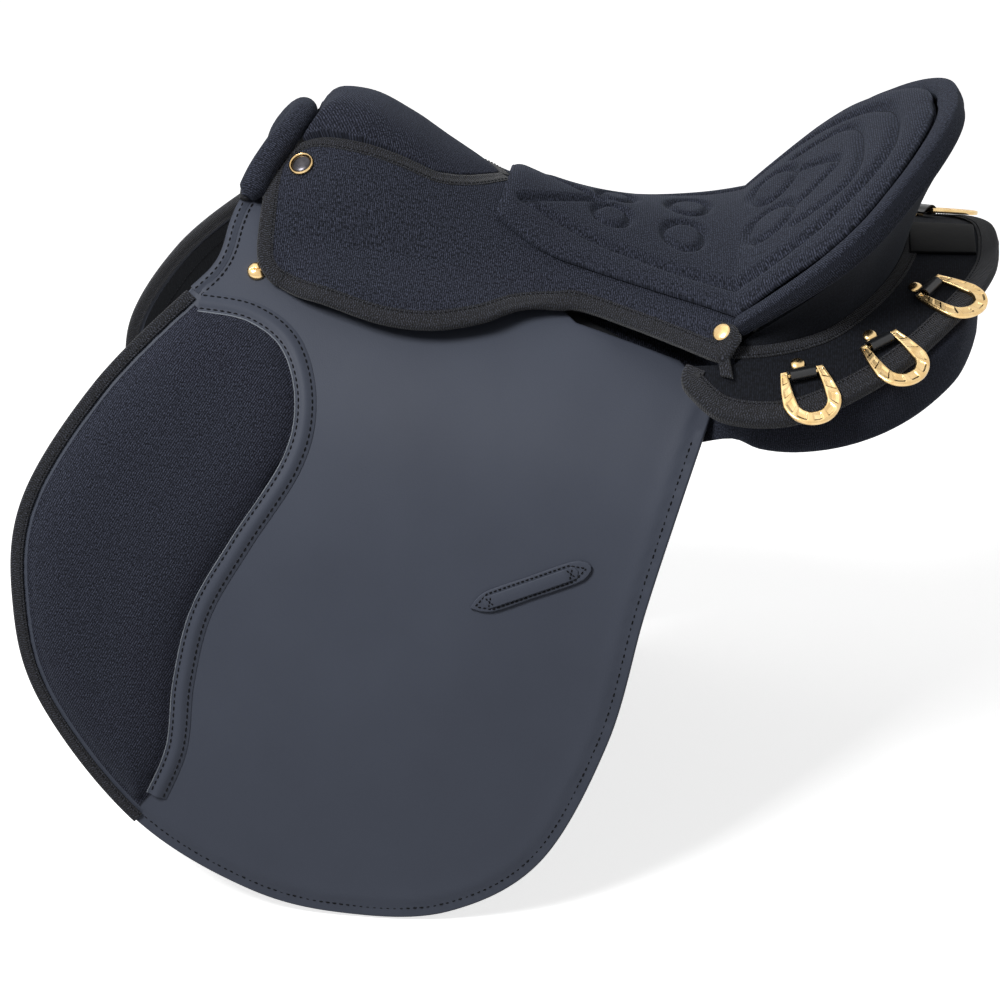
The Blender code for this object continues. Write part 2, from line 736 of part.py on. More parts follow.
def panel_section(x, shrink):
    """Ring of points round the right panel at one station, top first, then the outside and the bottom."""
    if x < 50:
        side = [flank_point(x, s, -PANEL_INSIDE_FLANK) for s in spread(fold_s(x), PANEL_DEPTH_S, 3)]
        side = [(point.y, point.z) for point in side]
    else:
        half = curve(PANEL_HALF, x)
        top = under_seat(x, half - 5)
        low = curve(PANEL_LOW, x)
        side = [(half - 5, top), (half, top - 7), (half, (top + low) / 2 - 3), (half - 4, low + 3)]
    tops = [(y, under_seat(x, y)) for y in spread(CHANNEL_HALF, side[0][0], 4)[:-1]]
    tops[0] = (CHANNEL_HALF, tops[0][1] - 2)
    inner_low = curve(PANEL_INNER_LOW, x)
    outer = side[-1]
    bottom = [(outer[0] + (CHANNEL_HALF - outer[0]) * t,
               outer[1] + (inner_low - outer[1]) * t - PANEL_BELLY * math.sin(math.pi * t))
              for t in (0.12, 0.4, 0.7, 0.97)]
    ring = tops + side + bottom
    points = [Vector((x, y, z)) for y, z in ring]
    centre = sum(points, Vector()) / len(points)
    return [centre.lerp(point, shrink) for point in points]


# Panel stations, each with the share of the full section there
PANEL_STATIONS = ((-246, 0.72), (-240, 0.92), (-228, 1), (-200, 1), (-165, 1), (-125, 1), (-80, 1), (-35, 1),
                  (5, 1), (30, 1), (46, 1), (57, 1), (75, 1), (98, 1), (125, 1), (150, 1), (172, 1), (190, 1),
                  (203, 1), (211, 0.93), (215, 0.75))


def make_panel(name, side, fabric):
    """Flocked panel that lies along the horse's back beside the channel."""
    rings = []
    for x, shrink in PANEL_STATIONS:
        rings.append([Vector((p.x, side * p.y, p.z)) for p in panel_section(x, shrink)])
    return add_piece(f"panel_{name}", skin(rings), fabric)


# Flap: edge below the fold line, from the rear corner round to the front corner
FLAP_EDGE = (FLAP_FOLD_REAR, (25, 159), (5, 229), (-17, 318), (-60, 404), (-121, 444), (-189, 450),
             (-258, 436), (-336, 389), (-400, 307), (-421, 238), (-417, 171), (-362, 93), FLAP_FOLD_FRONT)
FLAP_BOUND_FROM = (-336, 389)
SEAM_GAP = 0.6


def flap_edge():
    """Free edge of the flap, sampled from the rear corner to the front corner."""
    return through(FLAP_EDGE, 22)


def bound_from(edge):
    """Index of the edge point where the webbing starts."""
    return min(range(len(edge)), key=lambda i: math.dist(edge[i], FLAP_BOUND_FROM))


def make_flap(name, side, leather, carrier):
    """Lower part of the flap, which lifts."""
    shape = sheet(flap_edge(), flank(side), 0, FLAP_THICK, FLANK_GRID)
    return add_piece(f"flap_{name}", shape, leather, carrier)


# Yoke: upper part of the flap, nailed to the tree, with the ear that shows in front of the skirt
YOKE_EAR = ((-306, 25), (-294, 12), (-288, -1), (-285, -20), (-280, -38), (-272, -46), (-265, -38),
            (-264, -12))


def make_flap_yoke(name, side, leather):
    """Upper part of the flap, under the skirt."""
    (x0, s0), (x1, s1) = FLAP_FOLD_FRONT, FLAP_FOLD_REAR
    bar_low = BAR_S + BAR_WIDTH / 2 + 6
    outline = [(x0, s0 - SEAM_GAP)] + through(YOKE_EAR, 9)
    outline += [(-240, 10), (BAR_FOOT_X - 6, bar_low), (BAR_REAR_X + 20, bar_low)]
    outline += [(-50, 52), (20, 72), (34, 84), (x1, s1 - SEAM_GAP)]
    shape = sheet(outline, flank(side), 0, FLAP_THICK, FLANK_GRID)
    return add_piece(f"flap_yoke_{name}", shape, leather)


# Knee pad: edge beside the leather, from the top corner to the bottom corner
KNEE_SEAM = ((-300, 40), (-266, 47), (-240, 67), (-229, 102), (-236, 139), (-268, 191), (-294, 238),
             (-306, 287), (-311, 333), (-325, 368))
KNEE_INSET = 1.5
KNEE_GAP = 0.5
KNEE_CROWN = 6.5


def make_knee_pad(name, side, fabric, carrier):
    """Padded fabric panel on the front of the flap."""
    edge = flap_edge()
    front = offset_path(edge[bound_from(edge) + 1:], BINDING_WIDTH + KNEE_INSET)[:-1]
    outline = through(KNEE_SEAM, 19) + front

    def crown(x, s):
        return FLAP_THICK + KNEE_GAP + 1.1 + KNEE_CROWN * swell(edge_distance(x, s, outline), 24)

    inner = offset_path(outline + outline[:1], 11)
    shape = sheet(outline, flank(side), FLAP_THICK + KNEE_GAP, crown, [inner] + FLANK_GRID)
    return add_piece(f"knee_pad_{name}", shape, fabric, carrier)


def make_flap_binding(name, side, webbing, carrier):
    """Webbing round the front edge of the flap."""
    edge = flap_edge()
    shape = bound_edge(edge[bound_from(edge):], flank(side), 0, FLAP_THICK, -1)
    return add_piece(f"flap_binding_{name}", shape, webbing, carrier)


# Keeper: dart-ended patch and strap for the end of the stirrup leather
KEEPER_FRONT = (-110.0, 229.0)
KEEPER_REAR = (-31.0, 198.0)
KEEPER_HALF = 7.0
KEEPER_STRAP_HALF = 4.0


def make_keeper(name, side, leather, carrier):
    """Stirrup leather keeper on the outside of the flap."""
    (x0, s0), (x1, s1) = KEEPER_FRONT, KEEPER_REAR
    length = math.dist(KEEPER_FRONT, KEEPER_REAR)
    ax, as_ = (x1 - x0) / length, (s1 - s0) / length

    def spot(along, across):
        return (x0 + ax * along - as_ * across, s0 + as_ * along + ax * across)

    def raised_strap(x, s):
        along = (x - x0) * ax + (s - s0) * as_
        across = abs((s - s0) * ax - (x - x0) * as_)
        over_strap = across < KEEPER_STRAP_HALF + 0.2 and 12 < along < length - 12
        return FLAP_THICK + (4.6 if over_strap else 1.9)

    flats = ((0, 0), (13, -KEEPER_HALF), (length - 13, -KEEPER_HALF), (length, 0), (length - 13, KEEPER_HALF),
             (13, KEEPER_HALF))
    outline = [spot(along, across) for along, across in flats]
    creases = []
    for half, end in ((KEEPER_STRAP_HALF, 13), (KEEPER_STRAP_HALF + 0.8, 11)):
        stops = (end, length / 2, length - end)
        ring = [spot(along, -half) for along in stops] + [spot(along, half) for along in reversed(stops)]
        creases.append(ring + ring[:1])
    shape = sheet(outline, flank(side), FLAP_THICK + GAP, raised_strap, creases + FLANK_GRID)
    return add_piece(f"keeper_{name}", shape, leather, carrier)


# Sweat flap: leather between the billets and the panel
SWEAT_TOP = ((-236, 41), (-203, 38), (-197, 25), (-150, 22), (-62, 33), (-22, 52), (8, 76))
SWEAT_EDGE = ((8, 76), (14, 130), (2, 200), (-25, 290), (-62, 355), (-120, 396), (-200, 402), (-272, 375),
              (-330, 315), (-350, 245), (-340, 170), (-300, 105), (-258, 66), (-236, 41))


def make_sweat_flap(name, side, leather):
    """Inner flap, which keeps the billets and their buckles off the horse."""
    outline = list(SWEAT_TOP[:-1]) + through(SWEAT_EDGE, 30)[:-1]
    low = -SWEAT_INSIDE - SWEAT_THICK
    shape = sheet(outline, flank(side), low, -SWEAT_INSIDE, FLANK_GRID)
    return add_piece(f"sweat_flap_{name}", shape, leather)


BILLET_TOP_S = 62.0
BILLET_PIVOT_S = 75.0
BILLET_END_S = 340.0
BILLETS = (("front", -185.0), ("rear", -85.0))


def make_billet(name, side, x, leather):
    """Girth strap, which swings a little to the front and rear about its sewn top."""
    high = -SWEAT_INSIDE + BILLET_CLEARANCE + BILLET_THICK
    low = -SWEAT_INSIDE + BILLET_CLEARANCE
    half = BILLET_WIDTH / 2
    outline = [(x - half, BILLET_TOP_S), (x + half, BILLET_TOP_S), (x + half, BILLET_END_S - 12),
               (x + half - 6, BILLET_END_S), (x - half + 6, BILLET_END_S), (x - half, BILLET_END_S - 12)]
    carrier = hinge(f"hinge_{name}", flank(side)(x, BILLET_PIVOT_S, (low + high) / 2))
    return add_piece(name, sheet(outline, flank(side), low, high, FLANK_GRID), leather, carrier)


SKIRT_FRONT_X = -246.0
SKIRT_REAR_X = -48.0
SKIRT_END_GAP = 1.0
SKIRT_EDGE = ((SKIRT_REAR_X, 114), (-61, 117), (-87, 124), (-112, 137), (-145, 147), (-178, 149), (-212, 144),
              (-232, 140), (SKIRT_FRONT_X, 134.5))


def make_skirt(name, side, fabric):
    """Lifting part of the skirt, over the stirrup bar."""
    top = SEAT_HALF + SEAM_GAP
    outline = [(SKIRT_FRONT_X, top), (SKIRT_REAR_X, top)] + through(SKIRT_EDGE, 15)
    carrier = hinge(f"hinge_skirt_{name}", skirt_axis(side)[0])
    shape = sheet(outline, seat_side(side), -COVER_THICK, 0, SEAT_GRID)
    return add_piece(f"skirt_{name}", shape, fabric, carrier)


def skirt_axis(side):
    """Two points on the line that the skirt lifts about, just outside its fold."""
    place = seat_side(side)
    return place(SKIRT_FRONT_X, SEAT_HALF, SKIRT_AXIS_OUT), place(SKIRT_REAR_X, SEAT_HALF, SKIRT_AXIS_OUT)


def flap_axis(side):
    """Two points on the line that the flap lifts about, just outside its fold."""
    place = flank(side)
    height = FLAP_THICK + FLAP_AXIS_OUT
    return place(*FLAP_FOLD_FRONT, height), place(*FLAP_FOLD_REAR, height)


def make_stirrup_bar(name, side, steel):
    """Steel bar that the stirrup leather hangs from: a foot riveted to the tree and a free arm."""
    place = flank(side)
    origin = place(BAR_FRONT_X, BAR_S, 0)
    along = (place(BAR_REAR_X, BAR_S, 0) - origin).normalized()
    down = place(BAR_FRONT_X, BAR_S + 3, 0) - place(BAR_FRONT_X, BAR_S - 3, 0)
    down = (down - along * down.dot(along)).normalized()
    out = place(BAR_FRONT_X, BAR_S, 1) - origin
    out = (out - along * out.dot(along) - down * out.dot(down)).normalized()
    foot = BAR_FOOT_X - BAR_FRONT_X
    arm = BAR_REAR_X - BAR_FRONT_X
    outer, foot_top = BAR_STANDOFF + BAR_THICK, BAR_BASE + BAR_FOOT_THICK
    outline = ((foot, BAR_BASE), (-8, BAR_BASE), (0, BAR_STANDOFF), (arm, BAR_STANDOFF),
               (arm + 2, BAR_STANDOFF + 1), (arm + 2, outer - 1), (arm, outer), (-4, outer), (-10, foot_top),
               (foot, foot_top))
    rings = []
    for d in (-BAR_WIDTH / 2, BAR_WIDTH / 2):
        rings.append([origin + along * a + out * h + down * d for a, h in outline])
    return add_piece(f"stirrup_bar_{name}", skin(rings), steel)


def stud(name, surface, place, height, material):
    """Dome-headed fixing seated on a surface."""
    origin = surface(*place, GAP)
    up = (surface(*place, 2) - surface(*place, 1)).normalized()
    across = up.orthogonal().normalized()
    profile = [(STUD_RADIUS * radius, height * rise) for radius, rise in DOME]
    return add_piece(name, turned(profile, origin, across, up.cross(across), up), material)


def make_badge(name, side, brass):
    """Plain domed button with a raised rim, at the front corner of the skirt."""
    place = seat_side(side)
    origin = place(*BADGE_PLACE, GAP)
    up = (place(*BADGE_PLACE, 2) - place(*BADGE_PLACE, 1)).normalized()
    across = up.orthogonal().normalized()
    profile = [(BADGE_RADIUS, 0), (BADGE_RADIUS, BADGE_HEIGHT * 0.6), (BADGE_RADIUS - 0.8, BADGE_HEIGHT),
               (BADGE_RADIUS - 1.9, BADGE_HEIGHT), (BADGE_RADIUS - 2.5, BADGE_HEIGHT * 0.6),
               (BADGE_RADIUS * 0.3, BADGE_HEIGHT * 0.85)]
    return add_piece(name, turned(profile, origin, across, up.cross(across), up, 16), brass)


def ring_frame(side, bar, tip):
    """Frame of a gear ring: the middle of its bar, and the directions across, along and out."""
    stand = GAP + 0.3 + STRAP_EYE_RADIUS + STRAP_THICK
    origin = apron(bar[0], bar[1], stand)
    along = (apron(tip[0], tip[1], RING_TIP_STAND) - origin).normalized()
    up = apron(bar[0], bar[1], stand + 1) - origin
    up = (up - along * up.dot(along)).normalized()
    flip = Vector((1, side, 1))
    origin, along, up = (Vector((v.x * flip.x, v.y * flip.y, v.z)) for v in (origin, along, up))
    return origin, along.cross(up), along, up


def horseshoe(end, radius, count):
    """Horseshoe outline in (across, along): two arms that open out to a half circle."""
    arc = [(radius * math.cos(turn), RING_ARM_LENGTH + radius * math.sin(turn))
           for turn in (math.pi * k / count for k in range(count + 1))]
    shoulder = ((end + radius) / 2, RING_ARM_LENGTH / 2)
    return [(end, 0), shoulder] + arc + [(-shoulder[0], shoulder[1]), (-end, 0)]


def make_ring(name, frame, brass):
    """Horseshoe gear ring, closed by the thin bar that its strap holds."""
    origin, across, along, up = frame
    outer = horseshoe(RING_OUTER_END, RING_OUTER_RADIUS, 8)
    inner = horseshoe(RING_INNER_END, RING_INNER_RADIUS, 8)
    outer[0], outer[-1] = (RING_OUTER_END, -RING_BAR_HALF), (-RING_OUTER_END, -RING_BAR_HALF)
    inner[0], inner[-1] = (RING_INNER_END, RING_BAR_HALF), (-RING_INNER_END, RING_BAR_HALF)
    half = RING_THICK / 2

    def lift(flat, h):
        return [origin + across * a + along * b + up * h for a, b in flat]

    loops = [lift(outer, -half), lift(outer, half), lift(inner, half), lift(inner, -half)]
    carrier = hinge(f"hinge_{name}", origin)
    return add_piece(name, skin(loops, closed=True), brass, carrier)


def make_ring_strap(name, frame, webbing):
    """Strap folded round a ring's bar, with its tail held by a rivet."""
    origin, across, along, up = frame
    middle = STRAP_EYE_RADIUS + STRAP_THICK / 2
    line = [(-STRAP_TAIL, -middle), (-STRAP_TAIL / 2, -middle), (0, -middle)]
    line += [(middle * math.sin(turn), -middle * math.cos(turn))
             for turn in (math.pi * k / 6 for k in range(1, 7))]
    line += [(-2.8, middle * 0.62), (-5.2, -0.4), (-STRAP_TAIL / 2, -middle + STRAP_THICK + 0.4),
             (-STRAP_TAIL, -middle + STRAP_THICK + 0.4)]
    outline = strip_outline(line, STRAP_THICK)
    half = STRAP_WIDTH / 2
    rings = [[origin + across * a + along * b + up * h for b, h in outline] for a in (-half, half)]
    return add_piece(name, skin(rings), webbing)


def make_ring_rivet(name, frame, brass):
    """Brass rivet through the tail of a ring's strap."""
    origin, across, along, up = frame
    seat_height = STRAP_THICK * 1.5 + 0.4 + GAP - STRAP_EYE_RADIUS - STRAP_THICK / 2 + 0.5
    base = origin - along * (STRAP_TAIL - RIVET_RADIUS + 0.6) + up * seat_height
    profile = [(RIVET_RADIUS * radius, RIVET_HEIGHT * rise) for radius, rise in DOME]
    return add_piece(name, turned(profile, base, across, along, up, 10), brass)


# Heights that follow from the layers
TREE_TOP = -COVER_THICK - FOAM_THICK - 2 * LAYER_GAP
SWEAT_INSIDE = TREE_THICK - TREE_TOP + LAYER_GAP - SKIRT_STAND
PANEL_UNDER_SEAT = TREE_THICK - TREE_TOP + GULLET_THICK + 2 * LAYER_GAP
PANEL_UNDER_APRON = APRON_THICK + BINDING_GAP + BINDING_THICK + LAYER_GAP
PANEL_INSIDE_FLANK = PANEL_UNDER_SEAT - SKIRT_STAND
RING_TIP_STAND = 2 * BINDING_GAP + BINDING_THICK + RING_THICK / 2
BAR_BASE = TREE_TOP + SKIRT_STAND + GAP
SKIRT_AXIS_OUT = 0.8
FLAP_AXIS_OUT = 0.8


def make_flap_group(name, side, finishes):
    """Flap with everything sewn to it, on one hinge."""
    carrier = hinge(f"hinge_flap_{name}", flap_axis(side)[0])
    make_flap(name, side, finishes["leather"], carrier)
    make_knee_pad(name, side, finishes["fabric"], carrier)
    make_flap_binding(name, side, finishes["webbing"], carrier)
    make_keeper(name, side, finishes["leather"], carrier)


def make_side(name, side, finishes):
    """Everything that the saddle has once on each side."""
    make_panel(name, side, finishes["fabric"])
    make_flap_yoke(name, side, finishes["leather"])
    make_flap_group(name, side, finishes)
    make_sweat_flap(name, side, finishes["leather"])
    for place, x in BILLETS:
        make_billet(f"billet_{place}_{name}", side, x, finishes["leather"])
    make_skirt(name, side, finishes["fabric"])
    make_stirrup_bar(name, side, finishes["steel"])
    make_badge(f"badge_{name}", side, finishes["brass"])
    on_flap = flank(side)
    stud(f"front_stud_{name}", lambda x, s, h: on_flap(x, s, h + FLAP_THICK), FRONT_STUD_PLACE, STUD_HEIGHT,
         finishes["brass"])
    stud(f"rear_stud_{name}", seat_side(side), REAR_STUD_PLACE, REAR_STUD_HEIGHT, finishes["brass"])
    for place, bar, tip in RING_PLACES:
        frame = ring_frame(side, bar, tip)
        make_ring(f"gear_ring_{place}_{name}", frame, finishes["brass"])
        make_ring_strap(f"ring_strap_{place}_{name}", frame, finishes["webbing"])
        make_ring_rivet(f"ring_rivet_{place}_{name}", frame, finishes["brass"])


def build():
    """Clear the scene and build the saddle."""
    for thing in list(bpy.data.objects):
        bpy.data.objects.remove(thing, do_unlink=True)
    finishes = {
        "fabric": finish("navy_seat_fabric", (0.011, 0.016, 0.027), 0.9),
        "leather": finish("blue_grey_synthetic_leather", (0.060, 0.074, 0.092), 0.55),
        "webbing": finish("black_binding_webbing", (0.012, 0.012, 0.012), 0.85),
        "brass": finish("polished_brass", (0.68, 0.42, 0.12), 0.25, 1.0),
        "steel": finish("zinc_plated_steel", (0.55, 0.56, 0.58), 0.35, 1.0),
        "plastic": finish("moulded_tree_plastic", (0.03, 0.03, 0.032), 0.5),
        "foam": finish("seat_foam", (0.75, 0.70, 0.52), 0.95),
    }
    make_tree(finishes["plastic"])
    make_gullet_plate(finishes["steel"])
    make_seat_foam(finishes["foam"])
    make_seat_cover(finishes["fabric"])
    make_seat_pad(finishes["fabric"])
    make_pommel_cushion(finishes["fabric"])
    make_pommel_roll(finishes["fabric"])
    make_cantle_roll(finishes["fabric"])
    make_cantle_back(finishes["fabric"])
    make_rear_skirt(finishes["fabric"])
    make_rear_binding(finishes["webbing"])
    make_spine_strip(finishes["leather"])
    for name, side in SIDES:
        make_side(name, side, finishes)


build()
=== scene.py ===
"""Photo-like looks of the trail saddle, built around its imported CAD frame.

The front of the saddle points to -X, its left (near) side to -Y, and +Z is up. Design sizes are in
millimetres and the meshes in metres. The same three master surfaces as in the CAD source carry every
piece: the seat surface (x, v, h), the flank surface (x, s, h) under the flaps, and the apron surface
(x, y, h) of the rear skirt. The last value is always the height above the surface.
"""
import json
import logging
import math
from dataclasses import dataclass
from enum import Enum
from typing import Callable, Sequence

import bmesh
import bpy
import numpy as np
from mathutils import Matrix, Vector
from mathutils.geometry import delaunay_2d_cdt

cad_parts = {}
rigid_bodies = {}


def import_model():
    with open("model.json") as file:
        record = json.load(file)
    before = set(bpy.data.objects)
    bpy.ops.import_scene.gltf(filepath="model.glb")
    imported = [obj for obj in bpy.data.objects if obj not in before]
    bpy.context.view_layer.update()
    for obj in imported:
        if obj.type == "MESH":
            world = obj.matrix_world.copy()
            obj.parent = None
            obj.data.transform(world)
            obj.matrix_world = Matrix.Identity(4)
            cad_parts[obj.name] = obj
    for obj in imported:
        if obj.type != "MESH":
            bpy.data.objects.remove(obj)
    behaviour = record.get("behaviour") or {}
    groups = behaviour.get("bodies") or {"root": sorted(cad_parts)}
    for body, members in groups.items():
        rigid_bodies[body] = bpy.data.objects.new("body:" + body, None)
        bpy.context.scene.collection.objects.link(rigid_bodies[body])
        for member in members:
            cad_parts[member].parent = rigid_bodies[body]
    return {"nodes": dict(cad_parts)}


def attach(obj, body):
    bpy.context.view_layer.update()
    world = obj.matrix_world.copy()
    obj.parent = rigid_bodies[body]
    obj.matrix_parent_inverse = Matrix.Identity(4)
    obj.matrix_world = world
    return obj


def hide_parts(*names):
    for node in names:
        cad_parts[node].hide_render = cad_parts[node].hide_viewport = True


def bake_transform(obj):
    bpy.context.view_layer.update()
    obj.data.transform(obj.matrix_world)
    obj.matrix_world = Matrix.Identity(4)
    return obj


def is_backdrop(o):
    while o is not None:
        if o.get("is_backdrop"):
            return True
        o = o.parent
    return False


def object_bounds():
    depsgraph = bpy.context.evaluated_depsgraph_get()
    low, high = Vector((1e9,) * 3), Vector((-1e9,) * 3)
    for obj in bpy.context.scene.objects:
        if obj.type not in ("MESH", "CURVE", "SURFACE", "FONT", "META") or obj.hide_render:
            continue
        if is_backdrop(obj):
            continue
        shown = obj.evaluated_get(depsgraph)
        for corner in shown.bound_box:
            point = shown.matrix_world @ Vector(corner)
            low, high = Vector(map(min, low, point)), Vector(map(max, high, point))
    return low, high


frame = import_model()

MM = 0.001
TURN = 2 * math.pi
Array = np.ndarray
Place = Callable[[Array, Array, Array | float], Array]
Height = Callable[[Array, Array], Array] | float
Material, Piece = bpy.types.Material, bpy.types.Object
Tree, Node, Socket = bpy.types.NodeTree, bpy.types.Node, bpy.types.NodeSocket
log = logging.getLogger("trail_saddle")

# Flank surface
FLANK_TOP_Y = 84.0
FLANK_TOP_Z = 34.0
FLANK_SLOPE_TOP = 47.0
FLANK_SLOPE_LOW = 88.0
FLANK_BEND = 190.0
FLANK_HIGHEST = -90
FLANK_LOWEST = 560
WAIST_TAPER = 0.15
WAIST_START_X = -310.0
WAIST_FADE = 90.0

# Seat surface
SEAT_HALF = 100.0
SKIRT_STAND = 12.0
FOLD_FRONT_X = -246.0
FOLD_FRONT_S = -8.0
FOLD_FALL = 0.19
FLARE_START_X = -75.0
FLARE_OUT = 58.0
FLARE_UP = 11.0
CREST = ((-264, 86), (-240, 100), (-205, 107), (-175, 100), (-150, 88), (-110, 70), (-60, 52), (0, 38),
         (40, 34), (70, 42), (105, 68), (140, 95), (175, 121), (200, 139))
SHOULDER = ((-264, 2.3), (-195, 2.5), (-110, 2.0), (-40, 1.8), (58, 1.9))
CANTLE_X = 58.0
CANTLE_TOP_X = 200.0
RIM_RADIUS = ((0, 142), (29, 147), (48, 155), (60, 163), (70, 162), (80, 151), (90, 139))

# Apron surface
APRON_TOP = 34.0
APRON_FALL = 0.0018

# Layers that the CAD pieces share
COVER_THICK = 4.0
APRON_THICK = 6.0
FLAP_THICK = 4.0
SWEAT_TOP_H = -10.4
SWEAT_THICK = 3.0
TREE_TOP = -13.7
RIM_MARGIN = 20.0
GAP = 0.3


class Side(Enum):
    """Side of the saddle, as the sign of its Y."""

    LEFT = -1
    RIGHT = 1

    @property
    def word(self) -> str:
        """Word used in the names of pieces and bodies."""
        return self.name.lower()


class Slot(Enum):
    """Material slot of the record."""

    FABRIC = "seat_fabric"
    TAPE = "binding_webbing"
    LEATHER = "flap_leather"
    BILLET = "billet_leather"
    BRASS = "polished_brass"
    FOAM = "seat_foam"


@dataclass(frozen=True)
class Shape:
    """Mesh in millimetres: points, faces and the cloth coordinates of each point."""

    points: Array
    faces: list
    weave: Array


# Small helpers

def unit(rows: Array) -> Array:
    """Vectors scaled to a length of 1."""
    return rows / np.maximum(np.linalg.norm(rows, axis=-1, keepdims=True), 1e-9)


def circle(count: int) -> Array:
    """Cosine and sine of even turns, as rows."""
    turns = np.arange(count) * TURN / count
    return np.stack([np.cos(turns), np.sin(turns)], 1)


def soft(share: Array) -> Array:
    """Share from 0 to 1 that starts and ends gently."""
    return share * share * (3 - 2 * share)


def hermite(start: Array, end: Array, start_rate: Array, end_rate: Array, t: Array) -> Array:
    """Cubic from start to end with the given rates, read at a share t of the way."""
    return (((2 * t - 3) * t * t + 1) * start + (3 - 2 * t) * t * t * end
            + ((t - 2) * t + 1) * t * start_rate + (t - 1) * t * t * end_rate)


def curve(points: Sequence, x: Array) -> Array:
    """Smooth curve through (x, height) points.

    Args:
        points: the curve's knots.
        x: places to read.

    Returns:
        Height at each place.
    """
    xs, ys = np.array(points, float).T
    last = len(xs) - 1
    knots = np.arange(last + 1)
    before, after = np.maximum(knots - 1, 0), np.minimum(knots + 1, last)
    rates = (ys[after] - ys[before]) / (xs[after] - xs[before])
    x = np.clip(x, xs[0], xs[-1])
    i = np.clip(np.searchsorted(xs, x, side="right") - 1, 0, last - 1)
    span = xs[i + 1] - xs[i]
    return hermite(ys[i], ys[i + 1], rates[i] * span, rates[i + 1] * span, (x - xs[i]) / span)


# Master surfaces

def half_section(limit: int, step: int) -> list:
    """Side section of the saddle, one point each millimetre.

    Args:
        limit: last distance from the top of the flank.
        step: 1 down the side, -1 up.

    Returns:
        Rows of (s, y, z).
    """
    rows = [(0.0, FLANK_TOP_Y, FLANK_TOP_Z)]
    while rows[-1][0] != limit:
        s, y, z = rows[-1]
        fade = math.exp(-(s + step / 2) / FLANK_BEND)
        slope = math.radians(FLANK_SLOPE_LOW - (FLANK_SLOPE_LOW - FLANK_SLOPE_TOP) * fade)
        rows.append((s + step, y + step * math.cos(slope), z - step * math.sin(slope)))
    return rows


SECTION = np.array(half_section(FLANK_HIGHEST, -1)[:0:-1] + half_section(FLANK_LOWEST, 1))


def flank_base(x: Array, s: Array) -> Array:
    """Right flank surface.

    Args:
        x: place along the saddle.
        s: distance down the side.

    Returns:
        Points (x, y, z).
    """
    x, s = np.broadcast_arrays(np.asarray(x, float), np.asarray(s, float))
    fade = np.exp(-(np.maximum(s, 0.0) / WAIST_FADE) ** 2)
    taper = WAIST_TAPER * np.maximum(0.0, x - WAIST_START_X) * fade
    y, z = (np.interp(s, SECTION[:, 0], column) for column in SECTION.T[1:])
    return np.stack([x, y - taper, z], -1)


def raised(base: Callable, a: Array, b: Array, height: Array | float, outward: Sequence) -> Array:
    """Surface moved out along its normal.

    Args:
        base: the surface.
        a, b: the surface's two coordinates.
        height: distance above the surface.
        outward: rough direction of the outside.

    Returns:
        Points (x, y, z).
    """
    a, b = np.asarray(a, float), np.asarray(b, float)
    normal = unit(np.cross(base(a + 1, b) - base(a - 1, b), base(a, b + 1) - base(a, b - 1)))
    normal *= np.where(normal @ np.array(outward, float) < 0, -1.0, 1.0)[..., None]
    return base(a, b) + normal * np.asarray(height, float)[..., None]


def flank_point(x: Array, s: Array, h: Array | float) -> Array:
    """Point at height h above the right flank."""
    return raised(flank_base, x, s, h, (0, 1, 0.5))


def flank(side: Side) -> Place:
    """Flank surface of one side, as a function of (x, s, h)."""
    return lambda x, s, h: flank_point(x, s, h) * (1, side.value, 1)


def hem(x: Array, down: Array) -> Array:
    """Skirt below its fold.

    Args:
        x: place along the saddle.
        down: distance below the fold.

    Returns:
        Rows of (y, z).
    """
    point = flank_point(x, FOLD_FRONT_S + FOLD_FALL * (x - FOLD_FRONT_X) + down, SKIRT_STAND)
    flare = np.clip((x - FLARE_START_X) / (CANTLE_X - FLARE_START_X), 0.0, 1.0)
    flare = flare * flare * (1.6 - 0.6 * flare)
    return np.stack([point[..., 1] + FLARE_OUT * flare, point[..., 2] + FLARE_UP * flare], -1)


def seat_base(x: Array, v: Array) -> Array:
    """Seat surface, with the dish of the cantle.

    Args:
        x: place along the saddle.
        v: place across it, 100 at the fold of the skirt.

    Returns:
        Points (x, y, z).
    """
    x, v = np.broadcast_arrays(np.asarray(x, float), np.asarray(v, float))
    across, side, station = np.abs(v), np.where(v < 0, -1.0, 1.0), np.minimum(x, CANTLE_X)
    fold, skirt = hem(station, 0 * station), hem(station, np.maximum(across - SEAT_HALF, 0))
    share = np.minimum(across / SEAT_HALF, 1)
    top, shoulder = curve(CREST, station), curve(SHOULDER, station)
    below = across > SEAT_HALF
    y = np.where(below, skirt[..., 0], fold[..., 0] * share)
    z = np.where(below, skirt[..., 1], top + (fold[..., 1] - top) * share ** shoulder)
    wide = fold[..., 0] * across / SEAT_HALF
    turn = np.arctan2(wide, x - CANTLE_X)
    rim = curve(RIM_RADIUS, np.degrees(turn))
    share = np.minimum(np.hypot(x - CANTLE_X, wide) / rim, 1)
    rearward = rim * np.cos(turn) / (CANTLE_TOP_X - CANTLE_X)
    rear = curve(CREST, CANTLE_X + (CANTLE_TOP_X - CANTLE_X) * share)
    dish = (top + (fold[..., 1] - top) * share ** shoulder) * (1 - rearward) + rear * rearward
    behind = x > CANTLE_X
    return np.stack([x, side * np.where(behind, wide, y), np.where(behind, dish, z)], -1)


def seat(x: Array, v: Array, h: Array | float) -> Array:
    """Point at height h above the seat."""
    return raised(seat_base, x, v, h, (0, 0, 1))


def seat_side(side: Side) -> Place:
    """Seat surface with v counted from the centre line to one side."""
    return lambda x, v, h: seat(x, np.maximum(v, 1e-3), h) * (1, side.value, 1)


def apron_base(x: Array, y: Array) -> Array:
    """Rear skirt's surface."""
    x, y = np.broadcast_arrays(x, y)
    return np.stack([x, y, APRON_TOP - APRON_FALL * y * y], -1)


